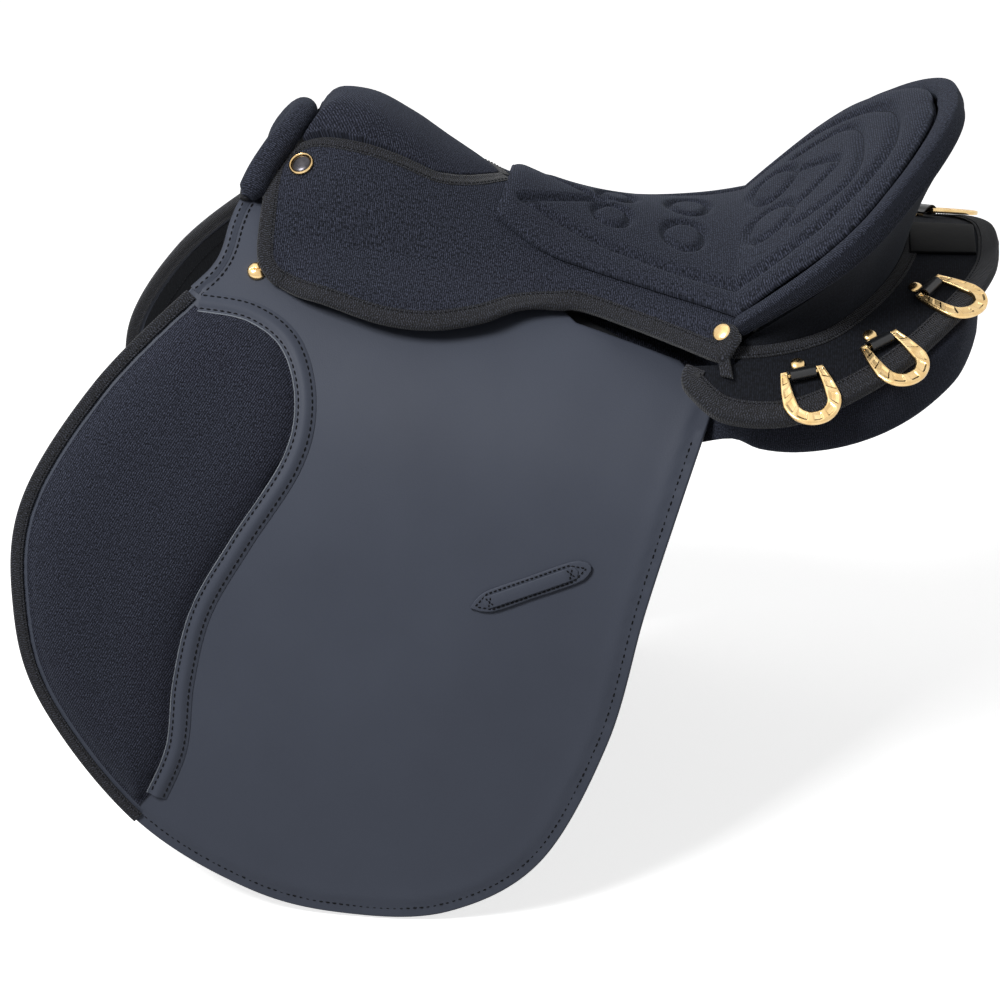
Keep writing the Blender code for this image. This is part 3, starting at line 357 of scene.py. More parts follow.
def apron(x: Array, y: Array, h: Array | float) -> Array:
    """Point at height h above the rear skirt."""
    return raised(apron_base, x, y, h, (0, 0, 1))


FOLD_WIDE = float(hem(CANTLE_X, 0.0)[0])


def rim_flat(angle: Array, inset: Array | float) -> tuple[Array, Array]:
    """Place on the seat surface near the cantle rim.

    Args:
        angle: degrees from the rear.
        inset: distance in from the rim.

    Returns:
        x and v.
    """
    radius = curve(RIM_RADIUS, np.abs(angle)) - inset
    turn = np.radians(angle)
    return CANTLE_X + radius * np.cos(turn), radius * np.sin(turn) * SEAT_HALF / FOLD_WIDE


def rim_line(inset: float) -> Array:
    """Line along the cantle rim, from the side to the rear."""
    return np.stack(rim_flat(np.linspace(85, 0, 70), inset), 1)


def normal_at(place: Place, a: float, b: float) -> Array:
    """Direction out of a surface."""
    return unit(place(a, b, 1.0) - place(a, b, 0.0))


# Flat lines

def through(points: Sequence, spacing: float, corners: bool = False) -> Array:
    """Open line through flat points.

    Args:
        points: points it passes.
        spacing: distance between the line's points.
        corners: whether it runs straight from point to point.

    Returns:
        Rows of (a, b).
    """
    points = np.array(points, float)
    rows, last = [], len(points) - 1
    for i in range(last):
        before, start, end, after = (points[min(max(i + k, 0), last)] for k in (-1, 0, 1, 2))
        t = np.linspace(0, 1, max(1, round(math.dist(start, end) / spacing)) + 1)[:-1, None]
        bent = hermite(start, end, (end - before) / 2, (after - start) / 2, t)
        rows.append(start + (end - start) * t if corners else bent)
    return np.vstack(rows + [points[-1:]])


def straight(points: Sequence, spacing: float) -> Array:
    """Line with corners, cut into short steps."""
    return through(points, spacing, corners=True)


def offset(path: Array, distance: Array | float, closed: bool = False) -> Array:
    """Line moved to the left of its direction.

    Args:
        path: flat line.
        distance: how far it moves.
        closed: whether its end meets its start.

    Returns:
        The moved line.
    """
    along = unit(np.roll(path, -1, 0) - np.roll(path, 1, 0) if closed else np.gradient(path, axis=0))
    return path + np.stack([-along[:, 1], along[:, 0]], 1) * np.asarray(distance, float).reshape(-1, 1)


def both_sides(half: Array) -> Array:
    """Closed outline from its right half, which starts and ends on the centre line."""
    return np.vstack([half, half[-2:0:-1] * (1, -1)])


def nearest(line: Array, place: Sequence) -> int:
    """Number of the line's point that lies nearest to a place."""
    return int(np.hypot(*(line - place).T).argmin())


def lengths(line: Array) -> Array:
    """Distance along a line to each of its points."""
    return np.concatenate([[0], np.linalg.norm(np.diff(line, axis=0), axis=1).cumsum()])


def walk(line: Array, run: Array, at: Array) -> Array:
    """Points of a line, read at distances along it."""
    return np.stack([np.interp(at, run, column) for column in line.T], 1)


def distance_to(flat: Array, line: Array, closed: bool = True) -> Array:
    """Distance from places to a line.

    Args:
        flat: places, as rows of (a, b).
        line: the line.
        closed: whether its end meets its start.

    Returns:
        One distance for each place.
    """
    starts = line if closed else line[:-1]
    along = (np.roll(line, -1, 0) if closed else line[1:]) - starts
    length = np.maximum((along ** 2).sum(1), 1e-12)
    result = []
    for part in np.array_split(flat, max(1, len(flat) // 4000)):
        away = part[:, None] - starts[None]
        t = np.clip((away * along).sum(2) / length, 0, 1)
        result.append(np.sqrt(((away - t[..., None] * along) ** 2).sum(2).min(1)))
    return np.concatenate(result)


def inside(flat: Array, outline: Array) -> Array:
    """Which places lie in a closed outline.

    Args:
        flat: places.
        outline: closed line.

    Returns:
        True or false for each place.
    """
    (x0, y0), (x1, y1) = outline.T, np.roll(outline, -1, 0).T
    result = []
    for part in np.array_split(flat, max(1, len(flat) // 4000)):
        px, py = part[:, :1], part[:, 1:]
        crosses = (y0 > py) != (y1 > py)
        at = x0 + (py - y0) * (x1 - x0) / np.where(y1 == y0, 1e-9, y1 - y0)
        result.append((crosses & (px < at)).sum(1) % 2 == 1)
    return np.concatenate(result)


def swell(distance: Array, reach: float) -> Array:
    """Share of a crown at a distance from its sewn edge; it is full at the reach."""
    part = np.clip(distance / reach, 0.0, 1.0)
    return np.sqrt(1 - (1 - part) ** 2)


def groove(distance: Array, width: float) -> Array:
    """Depth share of a sewn channel: 1 at its stitches, falling softly to 0."""
    return np.exp(-(distance / (0.36 * width)) ** 2)


# Meshes

def triangulate(outline: Array, spacing: float, extra: Array | None = None) -> tuple[Array, list]:
    """Even triangles that fill an outline.

    Args:
        outline: closed line, anticlockwise.
        spacing: distance between points.
        extra: further points that the mesh has to hold.

    Returns:
        Flat points, the outline's first, and triangles.
    """
    low, high = outline.min(0), outline.max(0)
    rows = np.arange(low[1] + spacing / 3, high[1], spacing * 0.87)
    columns = np.arange(low[0] + spacing / 3, high[0], spacing)
    grid = np.stack(np.meshgrid(columns, rows), -1)
    grid[1::2, :, 0] += spacing / 2
    grid = grid.reshape(-1, 2)
    grid = grid[inside(grid, outline)]
    grid = grid[distance_to(grid, outline) > 0.55 * spacing]
    if extra is not None:
        grid = np.vstack([grid[distance_to(grid, extra, closed=False) > 0.3 * spacing], extra])
    points = [Vector(p) for p in np.vstack([outline, grid])]
    loop = [list(range(len(outline)))]
    flat, _, faces, origins, _, owners = delaunay_2d_cdt(points, [], loop, 1, 1e-5)
    first = {source: i for i, sources in enumerate(origins) for source in sources}
    order = [first[i] for i in range(len(outline))]
    taken = set(order)
    order += [i for i in range(len(flat)) if i not in taken]
    number = {old: new for new, old in enumerate(order)}
    faces = [tuple(number[c] for c in face) for face, owner in zip(faces, owners) if 0 in owner]
    return np.array([flat[i][:] for i in order]), faces


def read(height: Height, flat: Array) -> Array:
    """Heights at flat places, from a number or a function of the place."""
    return height(*flat.T) if callable(height) else np.full(len(flat), float(height))


def cloth(outline: Array, place: Place, low: Height, high: Height, spacing: float = 4.0, radius: float = 1.2,
          sewn: Array | None = None, extra: Array | None = None) -> Shape:
    """Closed sheet with soft edges on a master surface.

    Args:
        outline: closed line on the surface.
        place: the surface.
        low, high: heights of its two faces.
        spacing: distance between its points.
        radius: rounding of its cut edge.
        sewn: for each outline point, 0 where the edge meets another piece and isn't rounded.
        extra: further points that the mesh has to hold.

    Returns:
        The sheet.
    """
    (ax, ay), (bx, by) = outline.T, np.roll(outline, -1, 0).T
    keep = np.ones(len(outline)) if sewn is None else sewn
    if (ax * by - bx * ay).sum() < 0:
        outline, keep = outline[::-1], keep[::-1]
    flat, faces = triangulate(offset(outline, radius * keep, closed=True), spacing, extra)
    size, count = len(flat), len(outline)
    top_h, low_h = read(high, flat), read(low, flat)
    points = [place(*flat.T, top_h), place(*flat.T, low_h)]
    weave = [flat, flat]
    turns = (0.35, 0.75, 1.15, TURN / 4)
    walls = [(turn, 1) for turn in turns] + [(turn, -1) for turn in reversed(turns)]
    for k, (turn, part) in enumerate(walls):
        line = offset(outline, radius * keep * (1 - math.sin(turn)), closed=True)
        share = (k + 1) / (len(walls) + 1)
        cut = top_h[:count] + (low_h[:count] - top_h[:count]) * share
        edge = top_h[:count] if part > 0 else low_h[:count]
        h = np.where(keep > 0, edge - part * radius * (1 - math.cos(turn)), cut)
        points.append(place(*line.T, h))
        weave.append(offset(outline, -radius * share, closed=True))
    rings = [0] + [2 * size + k * count for k in range(len(walls))] + [size]
    faces = faces + [tuple(size + c for c in reversed(face)) for face in faces]
    for above, below in zip(rings[:-1], rings[1:]):
        faces += [(above + (i + 1) % count, above + i, below + i, below + (i + 1) % count) for i in range(count)]
    return Shape(np.vstack(points), faces, np.vstack(weave))


def skin(rings: Array) -> Shape:
    """Closed surface through rings of points.

    Args:
        rings: array (ring, point, 3).

    Returns:
        The surface.
    """
    count, size = rings.shape[:2]
    faces = [(k * size + i, k * size + j, (k + 1) * size + j, (k + 1) * size + i)
             for k in range(count - 1) for i, j in zip(range(size), [*range(1, size), 0])]
    faces += [tuple(range(size)), tuple(range((count - 1) * size, count * size))]
    around = np.linalg.norm(np.diff(rings, axis=1), axis=2).mean(0)
    around = np.concatenate([[0], around.cumsum()])
    weave = np.stack(np.meshgrid(lengths(rings.mean(1)), around, indexing="ij"), -1).reshape(-1, 2)
    return Shape(rings.reshape(-1, 3), faces, weave)


def swept(path: Array, place: Place, section: Sequence) -> Shape:
    """Closed section carried along a line on a surface.

    Args:
        path: flat line.
        place: the surface.
        section: pairs of (distance to the left of the line, height).

    Returns:
        The shape.
    """
    return skin(np.stack([place(*offset(path, across).T, h) for across, h in section], 1))


def merged(shapes: Sequence[Shape]) -> Shape:
    """Several shapes as one.

    Args:
        shapes: the shapes.

    Returns:
        One shape.
    """
    faces, start = [], 0
    for shape in shapes:
        faces += [tuple(start + c for c in face) for face in shape.faces]
        start += len(shape.points)
    return Shape(np.vstack([s.points for s in shapes]), faces, np.vstack([s.weave for s in shapes]))


def cross_axes(up: Array) -> tuple[Array, Array]:
    """Two directions square to an axis."""
    across = unit(np.cross(up, (1.0, 0.0, 0.0) if abs(up[0]) < 0.8 else (0.0, 1.0, 0.0)))
    return across, np.cross(up, across)


def turned(profile: Sequence, origin: Array, up: Array, sides: int) -> Shape:
    """Solid of revolution, from (radius, height) pairs that start at its foot."""
    ring = circle(sides) @ np.array(cross_axes(up))
    return skin(np.array([origin + up * h + ring * r for r, h in profile]))


def stitches(path: Array, place: Place, height: Height, length: float = 3.4, pitch: float = 4.6,
             radius: float = 0.55) -> Shape:
    """Row of sewn stitches, each a short arched thread that dips in at both ends.

    Args:
        path: flat line of the row.
        place: surface that it lies on.
        height: height of the surface under the thread.
        length: length of a stitch.
        pitch: distance from one stitch to the next.
        radius: thickness of the thread, halved.

    Returns:
        All threads of the row.
    """
    h = read(height, path)
    line = place(*path.T, h)
    out = place(*path.T, h + 1.0) - line
    run = lengths(line)
    at = np.arange(pitch / 2, run[-1] - pitch / 2, pitch)
    thick = radius * np.array([0.55, 0.95, 1.0, 0.95, 0.55])
    lift = radius * np.array([-0.5, 0.45, 0.7, 0.45, -0.5])
    places = (at[:, None] + np.linspace(-0.5, 0.5, 5) * length).ravel()
    middle, up = (walk(rows, run, places).reshape(len(at), 5, 3) for rows in (line, out))
    across = unit(np.cross(unit(middle[:, -1:] - middle[:, :1]), up))
    ring = circle(6)
    rings = (middle + up * lift[:, None])[:, :, None] + thick[:, None, None] * (
        ring[:, :1] * across[:, :, None] + ring[:, 1:] * up[:, :, None])
    pattern = skin(rings[0])
    count, size = len(at), len(pattern.points)
    faces = [tuple(c + n * size for c in face) for n in range(count) for face in pattern.faces]
    weave = np.stack([np.repeat(places, 6), np.tile(np.arange(6) * TURN / 6 * radius, count * 5)], 1)
    return Shape(rings.reshape(-1, 3), faces, weave)


@dataclass(frozen=True)
class Webbing:
    """Woven tape folded round a free edge."""

    width: float = 9.0
    thick: float = 0.9
    out: float = 1.6
    gap: float = 0.5
    crown: float = 0.35
    fold: float = 2.2

    def bind(self, path: Array, place: Place, low: float, high: float, outward: int = 1) -> Shape:
        """Tape along an edge.

        Args:
            path: flat line of the edge.
            place: surface that carries it.
            low, high: the two faces of the edge.
            outward: 1 if the free side is to the left of the path, otherwise -1.

        Returns:
            The tape.
        """
        top, bottom, bend = high + self.gap, low - self.gap, self.out - self.fold
        flat = np.linspace(-self.width, bend, 9)
        bulge = self.crown * np.sin(np.linspace(0.25, 1.6, 9))
        turns = np.linspace(TURN / 4, -TURN / 4, 9)
        middle, half = (top + bottom) / 2, (top - bottom) / 2 + self.thick
        arc = np.stack([bend + self.fold * np.cos(turns), middle + half * np.sin(turns)], 1)
        arc[0:4, 1] += self.crown * np.linspace(0.9, 0.2, 4)
        upper = np.stack([flat, top + self.thick + bulge], 1)
        lower = np.stack([flat[::-1], np.full(9, bottom - self.thick)], 1)
        inner = np.array([(-self.width, bottom), (self.gap, bottom), (self.gap, top), (-self.width, top)])
        return swept(path, place, np.vstack([upper, arc[1:-1], lower, inner]) * (outward, 1))

    def sewing(self, path: Array, place: Place, high: float, outward: int = 1, inset: float = 1.6) -> Shape:
        """Stitch row at a small distance from the inner edge of the tape."""
        line = offset(path, -outward * (self.width - inset))
        return stitches(line, place, high + self.gap + self.thick + 0.1, 2.4, 3.2, 0.38)


# Materials

def colour(code: str) -> tuple[float, float, float, float]:
    """Linear colour from an sRGB hex code such as "#3d414c"."""
    parts = (int(code[i:i + 2], 16) / 255 for i in (1, 3, 5))
    return (*(p / 12.92 if p <= 0.04045 else ((p + 0.055) / 1.055) ** 2.4 for p in parts), 1.0)


def add_node(tree: Tree, kind: str, inputs: Sequence | dict = (), output: int | str = 0,
             **settings: object) -> Socket:
    """Adds a shader node.

    Args:
        tree: the material's nodes.
        kind: node type, without its "ShaderNode" start.
        inputs: sockets or values, in order or by the input's name or number.
        output: name or number of the output to return.
        settings: the node's own attributes.

    Returns:
        The output.
    """
    node = tree.nodes.new("ShaderNode" + kind)
    for key, value in settings.items():
        setattr(node, key, value)
    for key, value in (inputs if isinstance(inputs, dict) else dict(enumerate(inputs))).items():
        if isinstance(value, Socket):
            tree.links.new(value, node.inputs[key])
        else:
            node.inputs[key].default_value = value
    return node.outputs[output]


def ridges(tree: Tree, place: Socket, direction: tuple[float, float], pitch: float, shift: Socket) -> Socket:
    """Even ridges across the cloth.

    Args:
        tree: the material's nodes.
        place: cloth coordinates in metres.
        direction: direction across the ridges.
        pitch: distance between ridges in millimetres.
        shift: turns to add to the ridges' phase.

    Returns:
        Heights from 0 to 1.
    """
    scale = TURN / (pitch * MM) / math.hypot(*direction)
    run = (direction[0] * scale, direction[1] * scale, 0)
    along = add_node(tree, "VectorMath", (place, run), "Value", operation="DOT_PRODUCT")
    phase = add_node(tree, "Math", (shift, TURN, along), operation="MULTIPLY_ADD")
    wave = add_node(tree, "Math", (phase,), operation="SINE")
    return add_node(tree, "Math", (wave, 0.5, 0.5), operation="MULTIPLY_ADD")


def noise(tree: Tree, place: Socket, size: float, detail: float = 2.0, stretch: tuple = (1, 1, 1)) -> Socket:
    """Soft random pattern about 0.5, whose spots have a size in millimetres."""
    stretched = add_node(tree, "Mapping", {"Vector": place, "Scale": stretch})
    return add_node(tree, "TexNoise", {"Vector": stretched, "Scale": 1 / (size * MM), "Detail": detail}, "Fac")


@dataclass(frozen=True)
class Finish:
    """Surface whose colour runs from dark to light by a pattern of its own."""

    name: str
    dark: str
    light: str
    roughness: float = 0.5

    def surface(self, **constants: float | tuple) -> tuple[Material, Tree, Node]:
        """Material with an empty pattern.

        Args:
            constants: values of the shader, by socket name with _ for a space.

        Returns:
            The material, its nodes and its shader.
        """
        material = bpy.data.materials.new(self.name)
        material.use_nodes = True
        shader = material.node_tree.nodes["Principled BSDF"]
        for key, value in {"Roughness": self.roughness, **constants}.items():
            shader.inputs[key.replace("_", " ")].default_value = value
        return material, material.node_tree, shader

    def tone(self, tree: Tree, shader: Node, share: Socket) -> None:
        """Links the colour: dark where the share is 0, light where it is 1."""
        blend = {"Factor": share, 6: colour(self.dark), 7: colour(self.light)}
        tree.links.new(add_node(tree, "Mix", blend, 2, data_type="RGBA"), shader.inputs["Base Color"])

    def relief(self, tree: Tree, shader: Node, height: Socket, depth: float) -> None:
        """Links a relief finer than the mesh, from heights of 0 to 1 and a depth in millimetres."""
        bump = add_node(tree, "Bump", {"Distance": depth * MM, "Strength": 1.0, "Height": height})
        tree.links.new(bump, shader.inputs["Normal"])


@dataclass(frozen=True)
class Fabric(Finish):
    """Woven or knitted cloth: ridges of yarn, uneven colour and a soft sheen at grazing angles."""

    direction: tuple[float, float] = (1.0, 0.0)
    pitch: float = 1.4
    wander: float = 0.3
    depth: float = 0.18
    sheen: float = 0.12
    speck: float = 1.5

    def material(self) -> Material:
        """Builds the cloth's material."""
        material, tree, shader = self.surface(Specular_IOR_Level=0.18, Sheen_Weight=self.sheen,
                                              Sheen_Roughness=0.55, Sheen_Tint=colour("#8f9bb0"))
        place = add_node(tree, "UVMap", uv_map="weave")
        # Yarn isn't laid dead straight, so the ridges wander by a share of their pitch.
        drift = noise(tree, place, self.pitch * 3.0, 3.0)
        wander = add_node(tree, "Math", (drift, self.wander), operation="MULTIPLY")
        rib = ridges(tree, place, self.direction, self.pitch, wander)
        loop = ridges(tree, place, (-self.direction[1], self.direction[0]), self.pitch * 0.8, drift)
        rib = add_node(tree, "Math", (rib, 0.8), operation="MULTIPLY")
        yarn = add_node(tree, "Math", (loop, 0.2, rib), operation="MULTIPLY_ADD")
        # Fibres catch the light unevenly from spot to spot: pale flecks among nearly black gaps.
        speckle = noise(tree, place, self.speck, 4.0, (1.0, 0.6, 1.0))
        fleck = add_node(tree, "Math", (speckle, 4.4, -1.7), operation="MULTIPLY_ADD")
        pale = add_node(tree, "Math", (yarn, 1.15), operation="MULTIPLY")
        self.tone(tree, shader, add_node(tree, "Math", (pale, fleck), operation="MULTIPLY"))
        fibres = add_node(tree, "Math", (speckle, 0.8, yarn), operation="MULTIPLY_ADD")
        self.relief(tree, shader, fibres, self.depth)
        return material


@dataclass(frozen=True)
class WovenTape(Finish):
    """Binding webbing: herringbone rows of yarn, matt and nearly black."""

    pitch: float = 1.5
    row: float = 2.6

    def material(self) -> Material:
        """Builds the tape's material."""
        material, tree, shader = self.surface(Specular_IOR_Level=0.25, Sheen_Weight=0.15, Sheen_Roughness=0.5)
        place = add_node(tree, "UVMap", uv_map="weave")
        parts = add_node(tree, "SeparateXYZ", (place,)).node.outputs
        # The diagonal turns back at each row, which gives the herringbone.
        zigzag = add_node(tree, "Math", (parts["Y"], self.row * MM), operation="PINGPONG")
        lean = add_node(tree, "CombineXYZ", (parts["X"], zigzag))
        drift = add_node(tree, "Math", (noise(tree, place, 4.0), 0.2), operation="MULTIPLY")
        rib = ridges(tree, lean, (1.0, 0.4), self.pitch, drift)
        fleck = add_node(tree, "Math", (noise(tree, place, 1.1, 3.0), 4.4, -1.8), operation="MULTIPLY_ADD")
        self.tone(tree, shader, add_node(tree, "Math", (rib, fleck), operation="MULTIPLY"))
        self.relief(tree, shader, rib, 0.3)
        return material


@dataclass(frozen=True)
class Leather(Finish):
    """Smooth coated leather: a satin surface with a fine grain, faint creases and slow colour changes."""

    grain: float = 0.06
    shine: float = 0.14

    def material(self) -> Material:
        """Builds the leather's material."""
        material, tree, shader = self.surface(Specular_IOR_Level=self.shine)
        place = add_node(tree, "TexCoord", output="Object")
        # Slow changes of tone over a hand's width, as on a hide that has been handled.
        cloud = noise(tree, place, 90.0, 3.0)
        fine = add_node(tree, "Math", (noise(tree, place, 1.1, 4.0), 0.25), operation="MULTIPLY")
        self.tone(tree, shader, add_node(tree, "Math", (cloud, 0.8, fine), operation="MULTIPLY_ADD"))
        # Pores under a millimetre apart, and creases a few centimetres long.
        pores = add_node(tree, "TexVoronoi", {"Vector": place, "Scale": 1 / (0.9 * MM)}, "Distance")
        pores = add_node(tree, "Math", (pores, 0.7), operation="MULTIPLY")
        crease = noise(tree, place, 55.0, 5.0, (1, 1, 0.35))
        height = add_node(tree, "Math", (crease, 9.0, pores), operation="MULTIPLY_ADD")
        self.relief(tree, shader, height, self.grain)
        rough = add_node(tree, "Math", (cloud, 0.14, self.roughness - 0.07), operation="MULTIPLY_ADD")
        tree.links.new(rough, shader.inputs["Roughness"])
        return material


@dataclass(frozen=True)
class Metal(Finish):
    """Plated or cast metal: bright, with faint waves and handling marks."""

    wave: float = 0.05

    def material(self) -> Material:
        """Builds the metal's material."""
        material, tree, shader = self.surface(Metallic=1.0)
        place = add_node(tree, "TexCoord", output="Object")
        self.tone(tree, shader, noise(tree, place, 6.0, 3.0))
        self.relief(tree, shader, noise(tree, place, 4.0), self.wave)
        # Hairlines and thumb marks dull the polish in spots.
        marks = noise(tree, place, 2.0, 5.0)
        rough = add_node(tree, "Math", (marks, 0.16, self.roughness - 0.06), operation="MULTIPLY_ADD")
        tree.links.new(rough, shader.inputs["Roughness"])
        return material


@dataclass(frozen=True)
class Moulding(Finish):
    """Moulded plastic or foam: matt, with an even fine texture."""

    spot: float = 1.0
    depth: float = 0.1

    def material(self) -> Material:
        """Builds the material."""
        material, tree, shader = self.surface()
        texture = noise(tree, add_node(tree, "TexCoord", output="Object"), self.spot, 3.0)
        self.tone(tree, shader, texture)
        self.relief(tree, shader, texture, self.depth)
        return material


class Finishes:
    """Materials of the whole saddle."""

    def __init__(self) -> None:
        """Builds every material."""
        # Seat cloth: navy-black ribbed knit, whose ribs run down the side of the seat.
        self.knit = Fabric("navy_ribbed_knit", "#0a0c12", "#474b5b", 0.92, (1.0, 0.04), 1.3, 0.7, 0.2, 0.12,
                           0.9).material()
        # Cushion and knee pads: the same yarn, woven as a steep diagonal twill.
        self.twill = Fabric("navy_twill", "#090a11", "#484c5c", 0.92, (0.86, 0.5), 1.5, 0.25, 0.25, 0.12,
                            0.8).material()
        # Cantle wall and rear skirt: a finer and darker plain cloth.
        # Its dark colours are partly painted shade: the navy cloth is darkened further to stand for the shade that
        # falls on the wall under the cantle lip.
        self.plain = Fabric("fine_navy_cloth", "#08090d", "#1e2129", 0.92, (1.0, 0.0), 1.4, 0.5, 0.1,
                            0.06).material()
        # Flap lining: the same plain weave in black.
        self.lining = Fabric("black_lining_cloth", "#08090b", "#1b1d21", 0.92, (1.0, 0.3), 1.3, 0.5, 0.1,
                             0.05).material()
        # Flap: coated leather in a blue grey, satin and nearly even.
        self.leather = Leather("blue_grey_synthetic_leather", "#3d414c", "#4b505c").material()
        # The pale edge is a painted highlight: its light colour stands for the line of light that the seam's cut
        # edge catches.
        self.edge = Leather("pale_cut_leather_edge", "#6f747d", "#82878f").material()
        # Spine strip: black leather that hardly shines.
        self.strap = Leather("black_strap_leather", "#08090a", "#111214", 0.6, 0.08, 0.03).material()
        # Girth straps and sweat flaps: waxed leather, a little paler, so that they part from the lining.
        self.bridle = Leather("black_bridle_leather", "#1a1c1f", "#2a2c30", 0.5, 0.08, 0.3).material()
        # Ring straps: smooth ribbed nylon, whose ridges catch thin bright lines.
        self.nylon = Leather("black_ribbed_nylon", "#0c0d0f", "#1a1b1e", 0.36, 0.04, 0.5).material()
        # Binding: rows of yarn drawn coarser than the real ones, so that they show.
        self.webbing = WovenTape("black_herringbone_webbing", "#060607", "#454853", 0.85).material()
        # Sewing thread: black, twisted and matt.
        self.thread = Fabric("black_sewing_thread", "#050506", "#18181a", 0.92, (1.0, 0.0), 0.6, 0.1, 0.1,
                             0.1).material()
        # Rings, rivets and studs: warm pale gold with bright edges.
        self.brass = Metal("polished_brass", "#c39a5c", "#ecd3a2", 0.22).material()
        # Button: nearly black, with a soft mirror.
        self.nickel = Metal("dark_nickel", "#1d1c1e", "#58565a", 0.25).material()
        # Gullet plate and stirrup bars: grey and dull.
        self.steel = Metal("zinc_plated_steel", "#8b8d90", "#b4b6b9", 0.34, 0.1).material()
        # Tree: black moulded plastic with a fine texture.
        self.plastic = Moulding("moulded_tree_plastic", "#18191a", "#242527", 0.55, 0.8, 0.1).material()
        # Charcoal foam, painted dark as painted shade: it shows only as a thin line in the seams and under the front
        # arch, and stands for the shade there.
        self.foam = Moulding("charcoal_seat_foam", "#1b1d21", "#2b2d32", 0.95, 1.5, 0.4).material()


@dataclass(frozen=True)
class Assembly:
    """Sub-assembly: its finishes, and its side if it has one."""

    finishes: Finishes
    side: Side | None = None

    def named(self, text: str) -> str:
        """Name with the side's word in place of @."""
        return text.replace("@", self.side.word) if self.side else text

    def add(self, name: str, shape: Shape, finish: Material, slot: Slot, body: str | None = "saddle",
            *nodes: str) -> Piece:
        """Adds a piece, with @ for the side's word in every name.

        Args:
            name: name of the piece.
            shape: its mesh.
            finish: its material.
            slot: not used.
            body: body that it rides on, or None to leave it on no body.
            nodes: CAD nodes that it stands for.

        Returns:
            The piece.
        """
        mesh = bpy.data.meshes.new(self.named(name))
        mesh.from_pydata((shape.points * MM).tolist(), [], shape.faces)
        layer = mesh.uv_layers.new(name="weave")
        corners = np.zeros(len(mesh.loops), np.int32)
        mesh.loops.foreach_get("vertex_index", corners)
        layer.data.foreach_set("uv", (shape.weave[corners] * MM).astype(np.float32).ravel())
        work = bmesh.new()
        work.from_mesh(mesh)
        bmesh.ops.recalc_face_normals(work, faces=work.faces)
        work.to_mesh(mesh)
        work.free()
        mesh.shade_smooth()
        mesh.set_sharp_from_angle(angle=math.radians(48))
        mesh.materials.append(finish)
        piece = bpy.data.objects.new(mesh.name, mesh)
        bpy.context.scene.collection.objects.link(piece)
        if body:
            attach(piece, self.named(body))
        if nodes:
            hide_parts(*map(self.named, nodes))
        return piece

    def sheet(self, piece: Piece, held: str, *rests_on: str) -> None:
        """Reads the areas of a piece's faces and its cloth coordinates, and keeps nothing.

        Args:
            piece: the closed sheet.
            held: not used.
            rests_on: not used.
        """
        mesh = piece.data
        areas = np.zeros(len(mesh.polygons))
        mesh.polygons.foreach_get("area", areas)
        flat = np.zeros(len(mesh.loops) * 2, np.float32)
        mesh.uv_layers["weave"].data.foreach_get("uv", flat)


# Seat

POMMEL_BORDER = ((-110, 0), (-117, 13), (-128, 28), (-141, 38.5), (-156, 43.5), (-200, 43), (-232, 34),
                 (-250, 38), (-260, 49))
SKIRT_FRONT_X = -246.0
SKIRT_REAR_X = -48.0
COVER_CUT_V = 60.0
FRONT_EDGE = ((-262, 62), (-262.5, 90), (-262, 113), (-259, 124), (-252, 132), (SKIRT_FRONT_X, 134.5))
SKIRT_EDGE = ((-232, 140), (-212, 144), (-178, 149), (-145, 147), (-112, 137), (-87, 124), (-61, 117),
              (SKIRT_REAR_X, 114))
REAR_EDGE = ((-15, 116), (20, 118), (44, 119), (51, 116), (55.5, 108), (56.5, 98))


